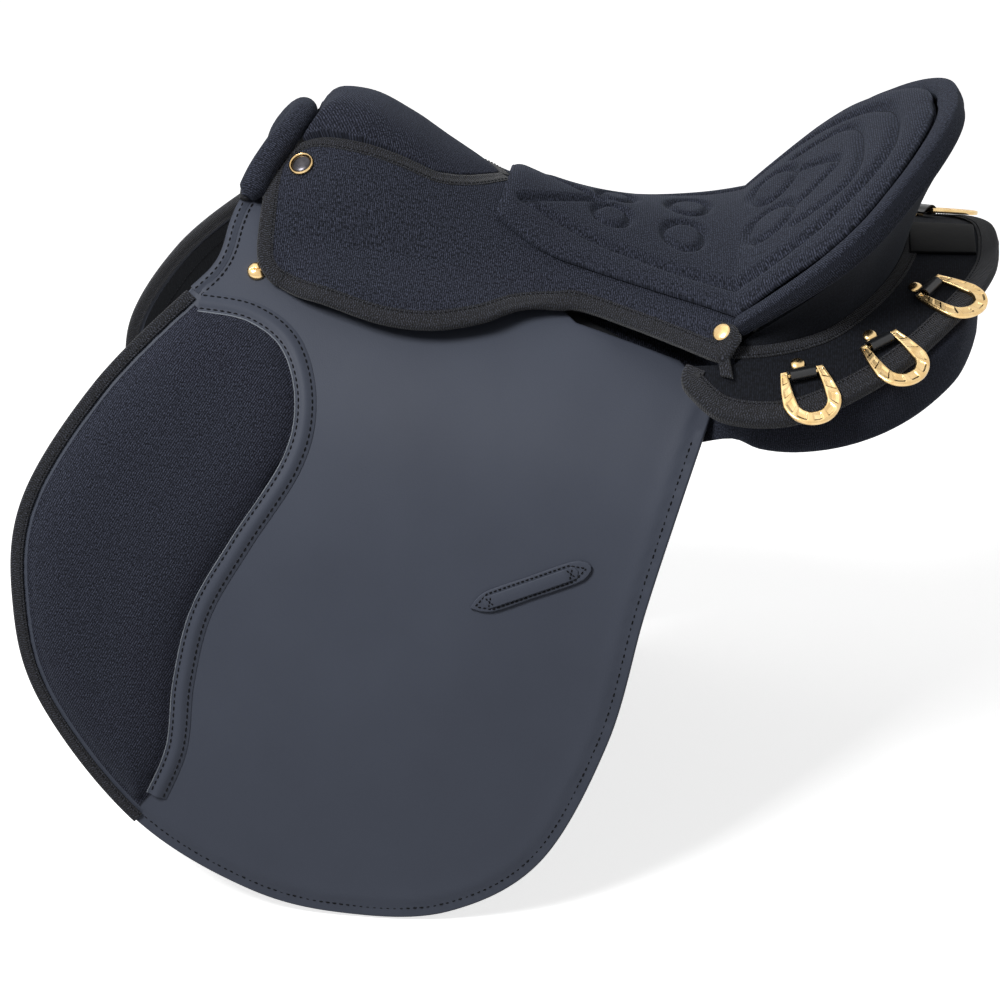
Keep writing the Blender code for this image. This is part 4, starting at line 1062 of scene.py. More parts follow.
@dataclass(frozen=True)
class SeatCover(Assembly):
    """Padded cover of one side, with its lifting skirt and its webbing."""

    edge_dip: float = 1.1
    edge_reach: float = 15.3
    spacing: float = 3.2
    flare: float = 8.5
    flare_from: float = 102.0
    flare_reach: float = 32.0
    bend_v: tuple = (90.0, 107.0)

    def free_edge(self) -> tuple[Array, int, int]:
        """Edge of the cover, round the cushion and along the skirt.

        Returns:
            The line from the centre to the rear stud, and where the lifting part starts and ends.
        """
        line = through(POMMEL_BORDER + FRONT_EDGE + SKIRT_EDGE + REAR_EDGE, 2.0)
        return line, nearest(line, FRONT_EDGE[-1]), nearest(line, SKIRT_EDGE[-1])

    def height(self, x: Array, v: Array) -> Array:
        """Height of the cover, which dips where the webbing pulls it in."""
        away = distance_to(np.stack([x, np.abs(v)], 1), self.free_edge()[0][::3], closed=False)
        return -self.edge_dip * (1 - swell(away, self.edge_reach))

    def skirt_place(self, x: Array, v: Array, h: Array | float) -> Array:
        """Surface of the skirt, whose padded lower edge stands off the flap."""
        ends = np.minimum(x - SKIRT_FRONT_X, (SKIRT_REAR_X - x) * 0.7)
        share = np.clip(np.minimum(np.abs(v) - self.flare_from, ends) / self.flare_reach, 0, 1)
        return seat_side(self.side)(x, v, h + self.flare * soft(share))

    def bend(self, skirt: Piece) -> None:
        """Works out the axis of the skirt's fold, which nothing uses, and bakes the skirt's placement into its mesh.
        """
        place, middle = seat_side(self.side), (SKIRT_FRONT_X + SKIRT_REAR_X) / 2
        start, end = (place(middle, v, 0.0) for v in self.bend_v)
        front, rear = (place(x, SEAT_HALF, 0.8) for x in (SKIRT_FRONT_X, SKIRT_REAR_X))
        axis = unit(rear - front)
        end = end - axis * ((end - start) @ axis)
        self.named("skirt_@")
        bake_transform(skirt)

    def build(self) -> None:
        """Builds the fixed half of the cover, the skirt, and the webbing on their free edge."""
        edge, start, end = self.free_edge()
        place = seat_side(self.side)
        corners = [tuple(edge[start]), (SKIRT_FRONT_X, COVER_CUT_V), (SKIRT_REAR_X, COVER_CUT_V), tuple(edge[end])]
        cut = straight(corners, self.spacing)[1:-1]
        rim = rim_line(RIM_MARGIN)
        middle = straight([tuple(rim[-1]), POMMEL_BORDER[0]], 6.0)[1:-1]
        outline = np.vstack([edge[:start + 1], cut, edge[end:], rim, middle])
        sewn = np.ones(len(outline))
        sewn[start:start + len(cut) + 2] = 0
        sewn[-len(middle):] = 0
        shape = cloth(outline, place, -COVER_THICK, self.height, self.spacing, sewn=sewn)
        # One node of the CAD stands for both halves of the cover.
        nodes = ["seat_cover"] if self.side is Side.LEFT else []
        cover = self.add("seat_cover_@", shape, self.finishes.knit, Slot.FABRIC, "saddle", *nodes)
        self.sheet(cover, "stretched", "seat_foam", "tree")

        cut = straight(corners[::-1], self.spacing)[1:-1]
        sewn = np.concatenate([np.ones(end + 1 - start), np.zeros(len(cut))])
        sewn[[0, end - start]] = 0
        shape = cloth(np.vstack([edge[start:end + 1], cut]), self.skirt_place, -COVER_THICK, self.height,
                      self.spacing, sewn=sewn)
        skirt = self.add("skirt_cloth_@", shape, self.finishes.knit, Slot.FABRIC, None, "skirt_@")
        self.bend(skirt)
        self.sheet(skirt, "hung", "seat_foam", "tree")

        tape, low, high = Webbing(width=9.3), -COVER_THICK - 0.2, -self.edge_dip
        for word, path, surface, body in (("front", edge[:start + 1], place, "saddle"),
                                          ("low", edge[start:end + 1], self.skirt_place, "skirt_@"),
                                          ("rear", edge[end:], place, "saddle")):
            self.add(f"seat_webbing_{word}_@", tape.bind(path, surface, low, high), self.finishes.webbing,
                     Slot.TAPE, body)
            self.add(f"seat_stitches_{word}_@", tape.sewing(path, surface, high), self.finishes.thread,
                     Slot.TAPE, body)


@dataclass(frozen=True)
class SeatPad(Assembly):
    """Quilted pad, and the foam under the cover."""

    low: float = 1.2
    edge_high: float = 2.4
    rise: float = 5.4
    reach: float = 9.0
    seam_depth: float = 5.2
    seam_width: float = 8.0
    ovals: tuple = ((-33, 22, 12, 15), (17, 26, 14, 18), (79, 27, 15, 19))
    front: tuple = ((-104, 0), (-105, 24), (-108, 56))
    flank: tuple = ((-109, 62), (-74, 81), (-41, 87), (0, 90), (38, 91))
    inset: tuple = ((0, 19), (30, 17.5), (60, 14.5), (75, 16), (85, 18))
    channel_front: tuple = ((-42, 0), (-58, 12), (-90, 36))
    channel: tuple = ((-93, 39), (-75, 47), (-38, 61), (10, 69), (36, 71), (64, 74), (88, 77), (112, 74),
                      (134, 61), (149, 45), (157, 26), (160, 0))
    nested: tuple = (((94, 52), (112, 51), (126, 46), (133, 37), (137, 20), (138, 0)),
                     ((94, 27), (104, 21), (114, 13), (121, 6), (123, 0)))
    foam_low: float = -12.7
    foam_high: float = -5.0
    foam_inset: float = 23.0

    def outline(self) -> Array:
        """Outline of the pad."""
        angles = np.linspace(78, 0, 10)
        rim = np.stack(rim_flat(angles, curve(self.inset, angles)), 1)
        half = through([*self.flank, *rim.tolist()], 2.2)
        return both_sides(np.vstack([through(self.front, 2.2)[:-1], half]))

    def seams(self) -> list[tuple[Array, float, float]]:
        """Seams of the pad: the channel, six ovals, and two nested loops on the cantle.

        Returns:
            For each its line, and the depth share and width of its groove.
        """
        channel = both_sides(np.vstack([through(self.channel_front, 3), through(self.channel, 3)]))
        ovals = [(x, side.value * v) + circle(40) * (wide, high) for x, v, wide, high in self.ovals for side in Side]
        loops = [(channel, 1.0, 1.3 * self.seam_width)] + [(oval, 0.8, self.seam_width) for oval in ovals]
        seams = [(np.vstack([line, line[:1]]), share, width) for line, share, width in loops]
        return seams + [(both_sides(through(half, 3)), 0.7, self.seam_width) for half in self.nested]

    def height(self, x: Array, v: Array) -> Array:
        """Height of the pad: crowned, and drawn in at its edge and seams."""
        flat = np.stack([x, v], 1)
        crown = self.rise * swell(distance_to(flat, self.outline()[::2]), self.reach)
        # The quilting thread pulls a rounded channel into the foam.
        dips = [share * groove(distance_to(flat, line, closed=False), width) for line, share, width in self.seams()]
        return self.edge_high + crown - self.seam_depth * np.max(dips, 0)

    def build(self) -> None:
        """Builds the pad, its stitches and the foam."""
        shape = cloth(self.outline(), seat, self.low, self.height, 1.6)
        pad = self.add("seat_pad_cushion", shape, self.finishes.knit, Slot.FABRIC, "saddle", "seat_pad")
        rows = [stitches(line, seat, self.height, 2.2, 3.0, 0.3) for line, _, _ in self.seams()]
        self.add("seat_pad_stitches", merged(rows), self.finishes.thread, Slot.FABRIC)

        border = offset(through(POMMEL_BORDER, 4), -4.0)
        border = border[border[:, 0] > -238]
        fold = straight([(-250, 56), (-250, 97), (20, 97), (47, 92)], 5)
        half = np.vstack([border, fold, rim_line(self.foam_inset)])
        half[[0, -1], 1] = 0
        shape = cloth(both_sides(half), seat, self.foam_low, self.foam_high, 6.0, 1.5)
        foam = self.add("seat_foam_layer", shape, self.finishes.foam, Slot.FOAM, "saddle", "seat_foam")


@dataclass(frozen=True)
class Pommel(Assembly):
    """Cushion over the head of the tree, and the roll in front of it."""

    reach: float = 22.0
    crown: tuple = ((-232, 17), (-222, 19), (-205, 16), (-175, 9), (-145, 4.5), (-112, 2))
    rear_x: float = -112.0
    front_half: float = 33.0
    roll_radius: float = 9.2
    roll_half: float = 77.0
    roll_x: tuple = ((0, -240), (25, -245), (45, -258), (62, -269), (76, -273))
    roll_h: tuple = ((0, 9.5), (25, 9), (45, 7.5), (62, 3.5), (76, -1))
    tape_radius: float = 3.0

    def tube(self, path: Array, radius: Array) -> Shape:
        """Round tube across the pommel, from the points of its middle and its radius at each."""
        # A running mean takes the kinks of the tree out of the path.
        count = 21
        padded = np.pad(path, ((count // 2, count // 2), (0, 0)), "reflect", reflect_type="odd")
        path = np.stack([np.convolve(column, np.ones(count) / count, "valid") for column in padded.T], 1)
        ahead = unit(np.gradient(path, axis=0))
        first = unit(np.cross(ahead, (1, 0, 0)))
        axes = np.stack([first, np.cross(ahead, first)], 1)
        return skin(path[:, None] + radius[:, None, None] * (circle(24) @ axes))

    def build(self) -> None:
        """Builds the cushion, the roll and the tape in front of it."""
        border = offset(through(POMMEL_BORDER, 2.4), GAP)
        border[0] = (self.rear_x, 0)
        v = np.linspace(self.front_half, 0, 15)
        front = np.stack([curve(self.roll_x, v) + self.roll_radius + GAP, v], 1)
        border = border[border[:, 0] > front[0, 0] + 1]
        outline = both_sides(np.vstack([border, front]))

        def height(x: Array, v: Array) -> Array:
            """Height of the crowned cushion."""
            return 0.5 + curve(self.crown, x) * swell(distance_to(np.stack([x, v], 1), outline[::2]), self.reach)

        shape = cloth(outline, seat, TREE_TOP + 0.9, height, 3.0, 1.4)
        cushion = self.add("pommel_cushion_cloth", shape, self.finishes.twill, Slot.FABRIC, "saddle",
                           "pommel_cushion")

        v = np.linspace(-self.roll_half, self.roll_half, 110)
        radius = self.roll_radius * np.clip((self.roll_half - np.abs(v)) / 12 + 0.5, 0, 1)
        x, h = curve(self.roll_x, np.abs(v)), curve(self.roll_h, np.abs(v))
        roll = self.add("pommel_roll_cloth", self.tube(seat(x, v, h), radius), self.finishes.knit, Slot.FABRIC,
                        "saddle", "pommel_roll")
        tape = self.tube(seat(x - radius + 1.2, v, h - 2.5), np.full(len(v), self.tape_radius))
        self.add("pommel_roll_webbing", tape, self.finishes.webbing, Slot.TAPE)


# Cantle and rear skirt

WALL_FOOT = ((0, 108), (21, 111), (40, 118), (54, 125), (63, 130), (72, 132), (90, 134))
APRON_EDGE = ((27, 150), (25, 158), (30, 168), (52, 184), (91, 185), (128, 170), (169, 139), (205, 91),
              (224, 46), (228, 0))
APRON_INNER = ((98, 0), (97, 75), (85, 112), (71, 133), (57, 147))


@dataclass(frozen=True)
class Cantle(Assembly):
    """Padded lip round the rim, and the cloth wall under it."""

    outer_inset: tuple = ((0, 3.4), (40, 2.4), (60, 1.4), (90, 0.8))
    inner_inset: tuple = ((0, 18.6), (30, 17.2), (60, 14.2), (75, 15.6), (90, 17))
    crest: float = 3.6
    drop: float = 14.4
    top: float = 3.2
    end_share: float = 0.72
    last_angle: float = 90.0
    middle_inset: float = 11.0
    wall_angle: float = 88.0
    wall_thick: float = 4.0
    wall_top: float = -14.5
    hollow: float = 3.5
    tape_section: tuple = ((-4.6, 0.5), (-4.4, 1.25), (-2.5, 1.5), (0.0, 1.55), (2.5, 1.5), (4.4, 1.25),
                           (4.6, 0.5), (4.4, 0.2), (-4.4, 0.2))

    def at_rim(self, angle: Array, inset: Array, h: Array) -> Array:
        """Point in the section square to the rim.

        Args:
            angle: degrees from the rear.
            inset: distance in from the rim.
            h: height above the seat surface.

        Returns:
            Points.
        """
        middle = self.middle_inset
        base = seat(*rim_flat(angle, middle), 0.0)
        up = seat(*rim_flat(angle, middle), 1.0) - base
        out = seat(*rim_flat(angle, middle - 2), 0.0) - seat(*rim_flat(angle, middle + 2), 0.0)
        out = unit(out - up * (out * up).sum(-1, keepdims=True))
        return base + out * (middle - inset)[:, None] + up * h[:, None]

    def lip(self) -> Shape:
        """Broad rounded lip, drawn in at its two front ends."""
        angle = np.linspace(-self.last_angle, self.last_angle, 190)
        outer, inner = (curve(line, np.abs(angle)) for line in (self.outer_inset, self.inner_inset))
        full = soft(np.clip((self.last_angle - np.abs(angle)) / 30, 0, 1))
        full = self.end_share + (1 - self.end_share) * full
        rows = []
        for x, y in circle(40):
            # A squarish oval: nearly flat on top, round at the rim and tucked in below.
            wide, high = math.copysign(abs(x) ** 0.75, x), math.copysign(abs(y) ** 0.8, y)
            inset = outer + (inner - outer) * 0.5 * full * (1.0 - wide)
            h = self.top + full * (high * (self.crest if high > 0 else self.drop) - self.crest)
            rows.append(self.at_rim(angle, inset, h))
        return skin(np.stack(rows, 1))

    def foot(self, angle: Array, out: float) -> Array:
        """Line at a distance outside the foot of the wall."""
        radius, turn = curve(WALL_FOOT, np.abs(angle)) + out, np.radians(angle)
        return np.stack([CANTLE_X + radius * np.cos(turn), radius * np.sin(turn)], 1)

    def wall(self) -> Shape:
        """Hollowed wall from the rear skirt to the lip."""
        angle = np.linspace(-self.wall_angle, self.wall_angle, 120)
        turn = np.radians(angle)
        spread = np.stack([np.cos(turn), np.sin(turn), 0 * turn], 1)
        rows = []
        for inset, hollow, shares in ((0.0, self.hollow, np.linspace(0, 1, 14)),
                                      (self.wall_thick, 0.0, np.linspace(1, 0, 6))):
            low = apron(*self.foot(angle, -inset).T, GAP)
            high = seat(*rim_flat(angle, 9.0 + inset), self.wall_top)
            rows += [low + (high - low) * share - spread * hollow * math.sin(math.pi * share) for share in shares]
        return skin(np.stack(rows, 1))

    def build(self) -> None:
        """Builds the lip, the wall and the tape at its foot."""
        lip = self.add("cantle_lip", self.lip(), self.finishes.knit, Slot.FABRIC, "saddle", "cantle_roll")
        # The wall's cloth is darkened partly as painted shade under the lip.
        wall = self.add("cantle_wall", self.wall(), self.finishes.plain, Slot.FABRIC, "saddle", "cantle_back")
        self.sheet(wall, "stretched", "rear_skirt", "cantle_roll")
        path = self.foot(np.linspace(-99, 99, 170), 5.2)
        self.add("wall_foot_webbing", swept(path, apron, self.tape_section), self.finishes.webbing, Slot.TAPE)
        row = stitches(offset(path, -3.0), apron, 1.5, 2.4, 3.2, 0.36)
        self.add("wall_foot_stitches", row, self.finishes.thread, Slot.TAPE)


@dataclass(frozen=True)
class RearSkirt(Assembly):
    """Cloth-covered board behind the seat, bound with wide webbing."""

    tape_width: float = 12.5
    tail: tuple = ((44, 112), (52, 113), (56, 126), (48, 127), (44, 112))
    strip: tuple = ((169, -31), (213, -29), (213, 29), (169, 31), (169, -31))

    def build(self) -> None:
        """Builds the board, its webbing and the leather strip over its middle."""
        edge = through(APRON_EDGE, 2.5)
        rear = straight([APRON_INNER[-1], tuple(edge[0])], 4)[:-1]
        outline = both_sides(np.vstack([straight(APRON_INNER, 5)[:-1], rear, edge]))
        board = self.add("rear_skirt_cloth", cloth(outline, apron, -APRON_THICK, 0.0, 4.5, 1.5),
                         self.finishes.plain, Slot.FABRIC, "saddle", "rear_skirt")
        self.sheet(board, "stretched", "tree")
        path, tape = np.vstack([edge, edge[-2::-1] * (1, -1)]), Webbing(width=self.tape_width)
        self.add("rear_skirt_webbing", tape.bind(path, apron, -APRON_THICK, 0.0), self.finishes.webbing,
                 Slot.TAPE, "saddle", "rear_skirt_binding")
        self.add("rear_skirt_stitches", tape.sewing(path, apron, 0.0, inset=1.8), self.finishes.thread, Slot.TAPE)
        # The seat webbing ends in a short cut tail under each rear stud.
        for side in Side:
            tail = self.add(f"webbing_tail_{side.word}",
                            cloth(straight(self.tail, 2)[:-1], seat_side(side), -3.4, -1.4, 2.5, 0.6),
                            self.finishes.webbing, Slot.TAPE)
            self.sheet(tail, "hung", "seat_cover")
        shape = cloth(straight(self.strip, 3)[:-1], apron, 0.6, 2.6, 4.0, 0.8)
        strip = self.add("spine_strip_leather", shape, self.finishes.strap, Slot.LEATHER, "saddle", "spine_strip")
        self.sheet(strip, "laid", "rear_skirt")


# Panels

def rounded(rings: Array, steps: int, axis: int, closed: bool = False) -> Array:
    """Points between points, on a soft curve that passes through its knots.

    Args:
        rings: array of points.
        steps: points for each gap.
        axis: axis to refine.
        closed: whether the line closes.

    Returns:
        The refined array.
    """
    rings = np.moveaxis(rings, axis, 0)
    first, last = (rings[-1:], rings[:2]) if closed else (rings[:1], rings[-1:])
    padded = np.concatenate([first, rings, last])
    before, start, end, after = (padded[k:len(padded) - 3 + k, None] for k in range(4))
    t = (np.arange(steps) / steps).reshape(1, -1, 1, 1)
    rows = hermite(start, end, (end - before) / 2, (after - start) / 2, t).reshape(-1, *rings.shape[1:])
    return np.moveaxis(rows if closed else np.concatenate([rows, rings[-1:]]), 0, axis)


@dataclass(frozen=True)
class Panel(Assembly):
    """Flocked panel that lies beside the horse's spine."""

    channel_half: float = 30.0
    depth_s: float = 115.0
    tree_end: float = 85.0
    half: tuple = ((56, 140), (72, 154), (95, 163), (122, 162), (150, 152), (175, 135), (195, 112), (208, 90),
                   (216, 60))
    low: tuple = ((-240, -45), (-120, -52), (45, -64), (72, -65), (100, -63), (140, -57), (175, -46), (200, -33),
                  (216, -18))
    inner_low: tuple = ((-240, 38), (-160, 22), (-80, 6), (20, -4), (216, -4))
    stations: tuple = (-246, -240, -228, -200, -165, -125, -80, -35, 5, 30, 57, 75, 98, 125, 150, 172, 190, 203,
                       211, 215)
    front_shares: tuple = (0.72, 0.92)
    rear_shares: tuple = (0.93, 0.75)

    def ceiling(self, x: float, y: Array) -> Array:
        """Underside of the tree and the rear skirt.

        Args:
            x: station along the saddle.
            y: places across it.

        Returns:
            Heights.
        """
        v = np.array((0, 25, 45, 60, 70, 80, 90, 100, 115, 135), float)
        line = seat(np.full(len(v), min(x, CANTLE_X)), v, -27.4)
        line = line[np.argsort(line[:, 1])]
        tree = np.interp(y, line[:, 1], line[:, 2])
        if x < 40:
            return tree
        skirt = APRON_TOP - APRON_FALL * y * y - 8.5 * np.hypot(1, 2 * APRON_FALL * y)
        return np.minimum(tree, skirt) if x <= self.tree_end else skirt

    def ring(self, x: float, share: float) -> Array:
        """Section of the right panel.

        Args:
            x: station along the saddle.
            share: share of its full size.

        Returns:
            Rows of (x, y, z).
        """
        if x < 50:
            fold = FOLD_FRONT_S + FOLD_FALL * (x - FOLD_FRONT_X)
            outer = flank_point(x, fold + (self.depth_s - fold) * np.arange(4) / 3, -15.4)[:, 1:]
        else:
            half, low = float(curve(self.half, x)), float(curve(self.low, x))
            top = float(self.ceiling(x, np.array(half - 5)))
            outer = np.array([(half - 5, top), (half, top - 7), (half, (top + low) / 2 - 3), (half - 4, low + 3)])
        y = self.channel_half + (outer[0, 0] - self.channel_half) * np.arange(4) / 4
        tops = np.stack([y, self.ceiling(x, y)], 1)
        tops[0, 1] -= 2
        t = np.array((0.12, 0.4, 0.7, 0.97))[:, None]
        end = np.array([self.channel_half, float(curve(self.inner_low, x))])
        bottom = outer[-1] + (end - outer[-1]) * t - np.sin(math.pi * t) * (0, 5)
        ring = np.vstack([tops, outer, bottom])
        ring = ring.mean(0) + (ring - ring.mean(0)) * share
        return np.insert(ring, 0, x, axis=1)

    def build(self) -> None:
        """Builds the panel."""
        full = [1.0] * (len(self.stations) - len(self.front_shares) - len(self.rear_shares))
        shares = [*self.front_shares, *full, *self.rear_shares]
        rings = np.array([self.ring(x, share) for x, share in zip(self.stations, shares)])
        rings = rounded(rounded(rings, 4, 1, closed=True), 4, 0)
        panel = self.add("panel_cloth_@", skin(rings * (1, self.side.value, 1)), self.finishes.knit, Slot.FABRIC,
                         "saddle", "panel_@")


# Flaps

FLAP_FOLD_FRONT = (-308.0, 28.0)
FLAP_FOLD_REAR = (43.0, 101.0)
FLAP_EDGE = (FLAP_FOLD_REAR, (25, 159), (5, 229), (-17, 318), (-60, 404), (-121, 444), (-189, 450), (-258, 436),
             (-336, 389), (-399, 307), (-417, 238), (-411, 170), (-366, 93), FLAP_FOLD_FRONT)
FLAP_BOUND_FROM = (-336, 389)
YOKE_EAR = ((-306, 25), (-294, 12), (-288, -1), (-285, -20), (-280, -38), (-272, -46), (-265, -38), (-264, -12))
YOKE_INNER = ((-264, -12), (-240, 10), (-224, 30), (-74, 30), (-50, 50), (20, 72), (34, 84), FLAP_FOLD_REAR)
KNEE_SEAM = ((-300, 40), (-266, 47), (-240, 67), (-229, 102), (-236, 139), (-268, 191), (-294, 238), (-306, 287),
             (-311, 333), (-325, 368))


@dataclass(frozen=True)
class Flap(Assembly):
    """Long leather flap with its knee pad, webbing, keeper, lining and stitches."""

    spacing: float = 4.5
    bend_half: float = 9.0
    edge_seam: float = 6.5
    knee_inset: float = 10.5
    knee_gap: float = 0.5
    knee_hem: float = 3.0
    knee_reach: float = 36.0
    knee_crown: float = 11.5
    strip_section: tuple = ((-1, 0.6), (-0.98, 0.82), (-0.85, 0.86), (-0.64, 0.7), (-0.4, 0.95), (-0.1, 1.12),
                            (0.2, 1.05), (0.45, 0.7), (0.66, 0.42), (0.85, 0.3), (1, 0.12), (1, -0.2), (-1, -0.2))
    keeper_front: tuple = (-110.0, 229.0)
    keeper_rear: tuple = (-31.0, 198.0)
    keeper_half: float = 7.2
    keeper_top: float = FLAP_THICK + 2.6
    strap_half: float = 4.2
    strap_arch: float = 1.7
    lining_slope: float = 0.208

    def edge(self) -> tuple[Array, int]:
        """Free edge of the flap from its rear corner to the front one, and where its webbing starts."""
        line = through(FLAP_EDGE, 3.0)
        return line, nearest(line, FLAP_BOUND_FROM)

    def surface(self, x: Array, s: Array) -> Array:
        """Height of the leather: a soft puffed line beside the edge stitches."""
        away = distance_to(np.stack([x, s], 1), self.edge()[0][::2], closed=False) - self.edge_seam
        return FLAP_THICK - 0.15 - 1.2 * groove(away, 6.0) + 0.5 * groove(away - 6.5, 16.0)

    def sew(self, name: str, *rows: Shape) -> None:
        """Adds stitch rows that lift with the flap."""
        self.add(name, merged(rows), self.finishes.thread, Slot.LEATHER, "flap_@")

    def strip(self, path: Array, half: float, rise: float, cut_side: int) -> Shape:
        """Rolled leather strip along a line.

        Args:
            path: flat line of its middle.
            half: half its width.
            rise: its height.
            cut_side: 1 if the edge to the left of the path is cut square, -1 for the right one.

        Returns:
            The strip.
        """
        section = np.array(self.strip_section) * (-cut_side * half, rise) + (0, FLAP_THICK)
        return swept(path, flank(self.side), section)

    def bend(self, leather: Piece) -> None:
        """Works out the axis of the flap's fold, which nothing uses, and bakes the leather's placement into its
        mesh.
        """
        place = flank(self.side)
        front, rear = (place(*spot, FLAP_THICK + 0.8) for spot in (FLAP_FOLD_FRONT, FLAP_FOLD_REAR))
        axis, low = unit(rear - front), place(-140.0, 180.0, 0.0)
        self.named("flap_@")
        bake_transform(leather)

    def build_leather(self) -> None:
        """Builds the leather of the flap and its fixed top, with the edge stitches."""
        place = flank(self.side)
        edge, bound = self.edge()
        ear = through(YOKE_EAR, 2.5)
        outline = np.vstack([edge, ear, straight(YOKE_INNER, 5)[1:-1]])
        leather = self.add("flap_leather_@", cloth(outline, place, 0.0, self.surface, self.spacing, 1.5),
                           self.finishes.leather, Slot.LEATHER, None, "flap_@", "flap_yoke_@")
        self.bend(leather)
        self.sheet(leather, "hung", "tree")
        row = offset(edge[:bound + 2], self.edge_seam)
        row = row[row[:, 1] > FLAP_FOLD_REAR[1] + 14]
        self.sew("flap_edge_stitches_@", stitches(row, place, self.surface))
        half = len(ear) // 2
        rows = [stitches(offset(ear[:half + 8], gap), place, FLAP_THICK + rise) for gap, rise in ((3, 1), (9, 0))]
        self.add("ear_stitches_@", merged(rows), self.finishes.thread, Slot.LEATHER)
        self.add("ear_fold_@", self.strip(offset(ear[:half + 9], 3.2), 3.6, 1.15, -1), self.finishes.leather,
                 Slot.LEATHER)

    def build_knee(self) -> None:
        """Builds the knee pad, the leather seam beside it and the webbing of the front edge."""
        place = flank(self.side)
        edge, bound = self.edge()
        seam = through(KNEE_SEAM, 3.0)
        outline = np.vstack([seam, offset(edge[bound + 2:], self.knee_inset)[:-2]])

        def height(x: Array, s: Array) -> Array:
            """Height of the crowned pad."""
            away = distance_to(np.stack([x, s], 1), outline[::2]) - self.knee_hem
            return FLAP_THICK + self.knee_gap + 0.9 + self.knee_crown * swell(away, self.knee_reach)

        pad = self.add("knee_pad_cloth_@", cloth(outline, place, FLAP_THICK + self.knee_gap, height, 3.4, 0.6),
                       self.finishes.twill, Slot.FABRIC, "flap_@", "knee_pad_@")
        self.add("seam_leather_@", self.strip(offset(seam, -4.6), 7.0, 3.0, 1), self.finishes.leather,
                 Slot.LEATHER, "flap_@")
        # The thin pale bead along the seam is a painted highlight, drawn in a pale leather colour.
        highlight_bead = swept(seam, place, circle(10) * (-0.5, 0.5) + (2.1, FLAP_THICK + 2.5))
        self.add("seam_cut_edge_@", highlight_bead, self.finishes.edge, Slot.LEATHER, "flap_@")
        self.sew("seam_stitches_@", *(stitches(offset(seam, -gap), place, FLAP_THICK + rise)
                                      for gap, rise in ((0.1, 2.1), (9.2, 1.25))))
        tape, path = Webbing(width=7.4), edge[bound:]
        self.add("flap_webbing_@", tape.bind(path, place, 0.0, FLAP_THICK, -1), self.finishes.webbing, Slot.TAPE,
                 "flap_@", "flap_binding_@")
        self.sew("flap_webbing_stitches_@", tape.sewing(path, place, FLAP_THICK, -1))

    def build_keeper(self) -> None:
        """Builds the pointed patch and its raised strap, sewn on at both ends."""
        place, front = flank(self.side), np.array(self.keeper_front)
        length = math.dist(self.keeper_front, self.keeper_rear)
        along = (np.array(self.keeper_rear) - front) / length
        axes = np.array([along, (-along[1], along[0])])
        half, strap, beside = self.keeper_half, self.strap_half, self.strap_half + 1.3

        def spot(rows: Sequence) -> Array:
            """Places on the flank, from rows of (along, across) on the keeper."""
            return front + np.array(rows, float) @ axes

        def arch(x: Array, s: Array) -> Array:
            """Height of the strap, which arches between its two sewn ends."""
            a, b = axes @ (np.stack([x, s]) - front[:, None])
            share = np.clip(np.minimum(a - 11, length - 11 - a) / 8, 0, 1)
            return FLAP_THICK + 3.6 + self.strap_arch * soft(share) - 0.02 * b * b

        corners = [(0, 0), (6, -4.4), (16, -half), (length / 2, -half), (length - 13, -half), (length - 3.5, -4.6),
                   (length, 0), (length - 3.5, 4.6), (length - 13, half), (length / 2, half), (16, half), (6, 4.4)]
        patch = cloth(through(spot(corners), 1.6), place, FLAP_THICK + 0.2, self.keeper_top, 2.4, 0.7)
        patch = self.add("keeper_patch_@", patch, self.finishes.leather, Slot.LEATHER, "flap_@", "keeper_@")
        self.sheet(patch, "laid", "flap_@")
        ends = [(9, 0), (11, -strap), (length - 11, -strap), (length - 9, 0), (length - 11, strap), (11, strap),
                (9, 0)]
        loop = cloth(straight(spot(ends), 1.4)[:-1], place, lambda x, s: arch(x, s) - 1.3, arch, 2.0, 0.55)
        loop = self.add("keeper_strap_@", loop, self.finishes.leather, Slot.LEATHER, "flap_@")
        self.sheet(loop, "laid", "keeper_@")
        inner = [(3.5, 0), (14, -beside), (length - 14, -beside), (length - 3.5, 0), (length - 14, beside),
                 (14, beside), (3.5, 0)]
        rows = [stitches(straight(spot(inner), 1.0), place, self.keeper_top, 2.4, 3.2, 0.5)]
        for end in (14.0, length - 14.0):
            for lean in (1 - strap, strap - 1):
                cross = straight(spot([(end - 2, -lean), (end + 2, lean)]), 0.8)
                rows.append(stitches(cross, place, arch, 2.0, 2.4, 0.5))
        self.sew("keeper_stitches_@", *rows)

    def build_lining(self) -> None:
        """Builds the cloth lining on the horse's side of the flap, with its stitched line."""
        place, edge = flank(self.side), self.edge()[0]
        loop, row = (line[line[:, 1] > self.lining_slope * (line[:, 0] - FLAP_FOLD_FRONT[0]) + start]
                     for line, start in ((offset(edge, 10.0), 40), (offset(edge, 19.0), 46)))
        lining = self.add("flap_lining_@", cloth(loop, place, -0.85, -0.1, 9.0, 0.3), self.finishes.lining,
                          Slot.LEATHER, "flap_@")
        self.sheet(lining, "stretched", "flap_@")
        self.sew("lining_stitches_@", stitches(row, place, -1.0))

    def build(self) -> None:
        """Builds the flap."""
        self.build_leather()
        self.build_knee()
        self.build_keeper()
        self.build_lining()


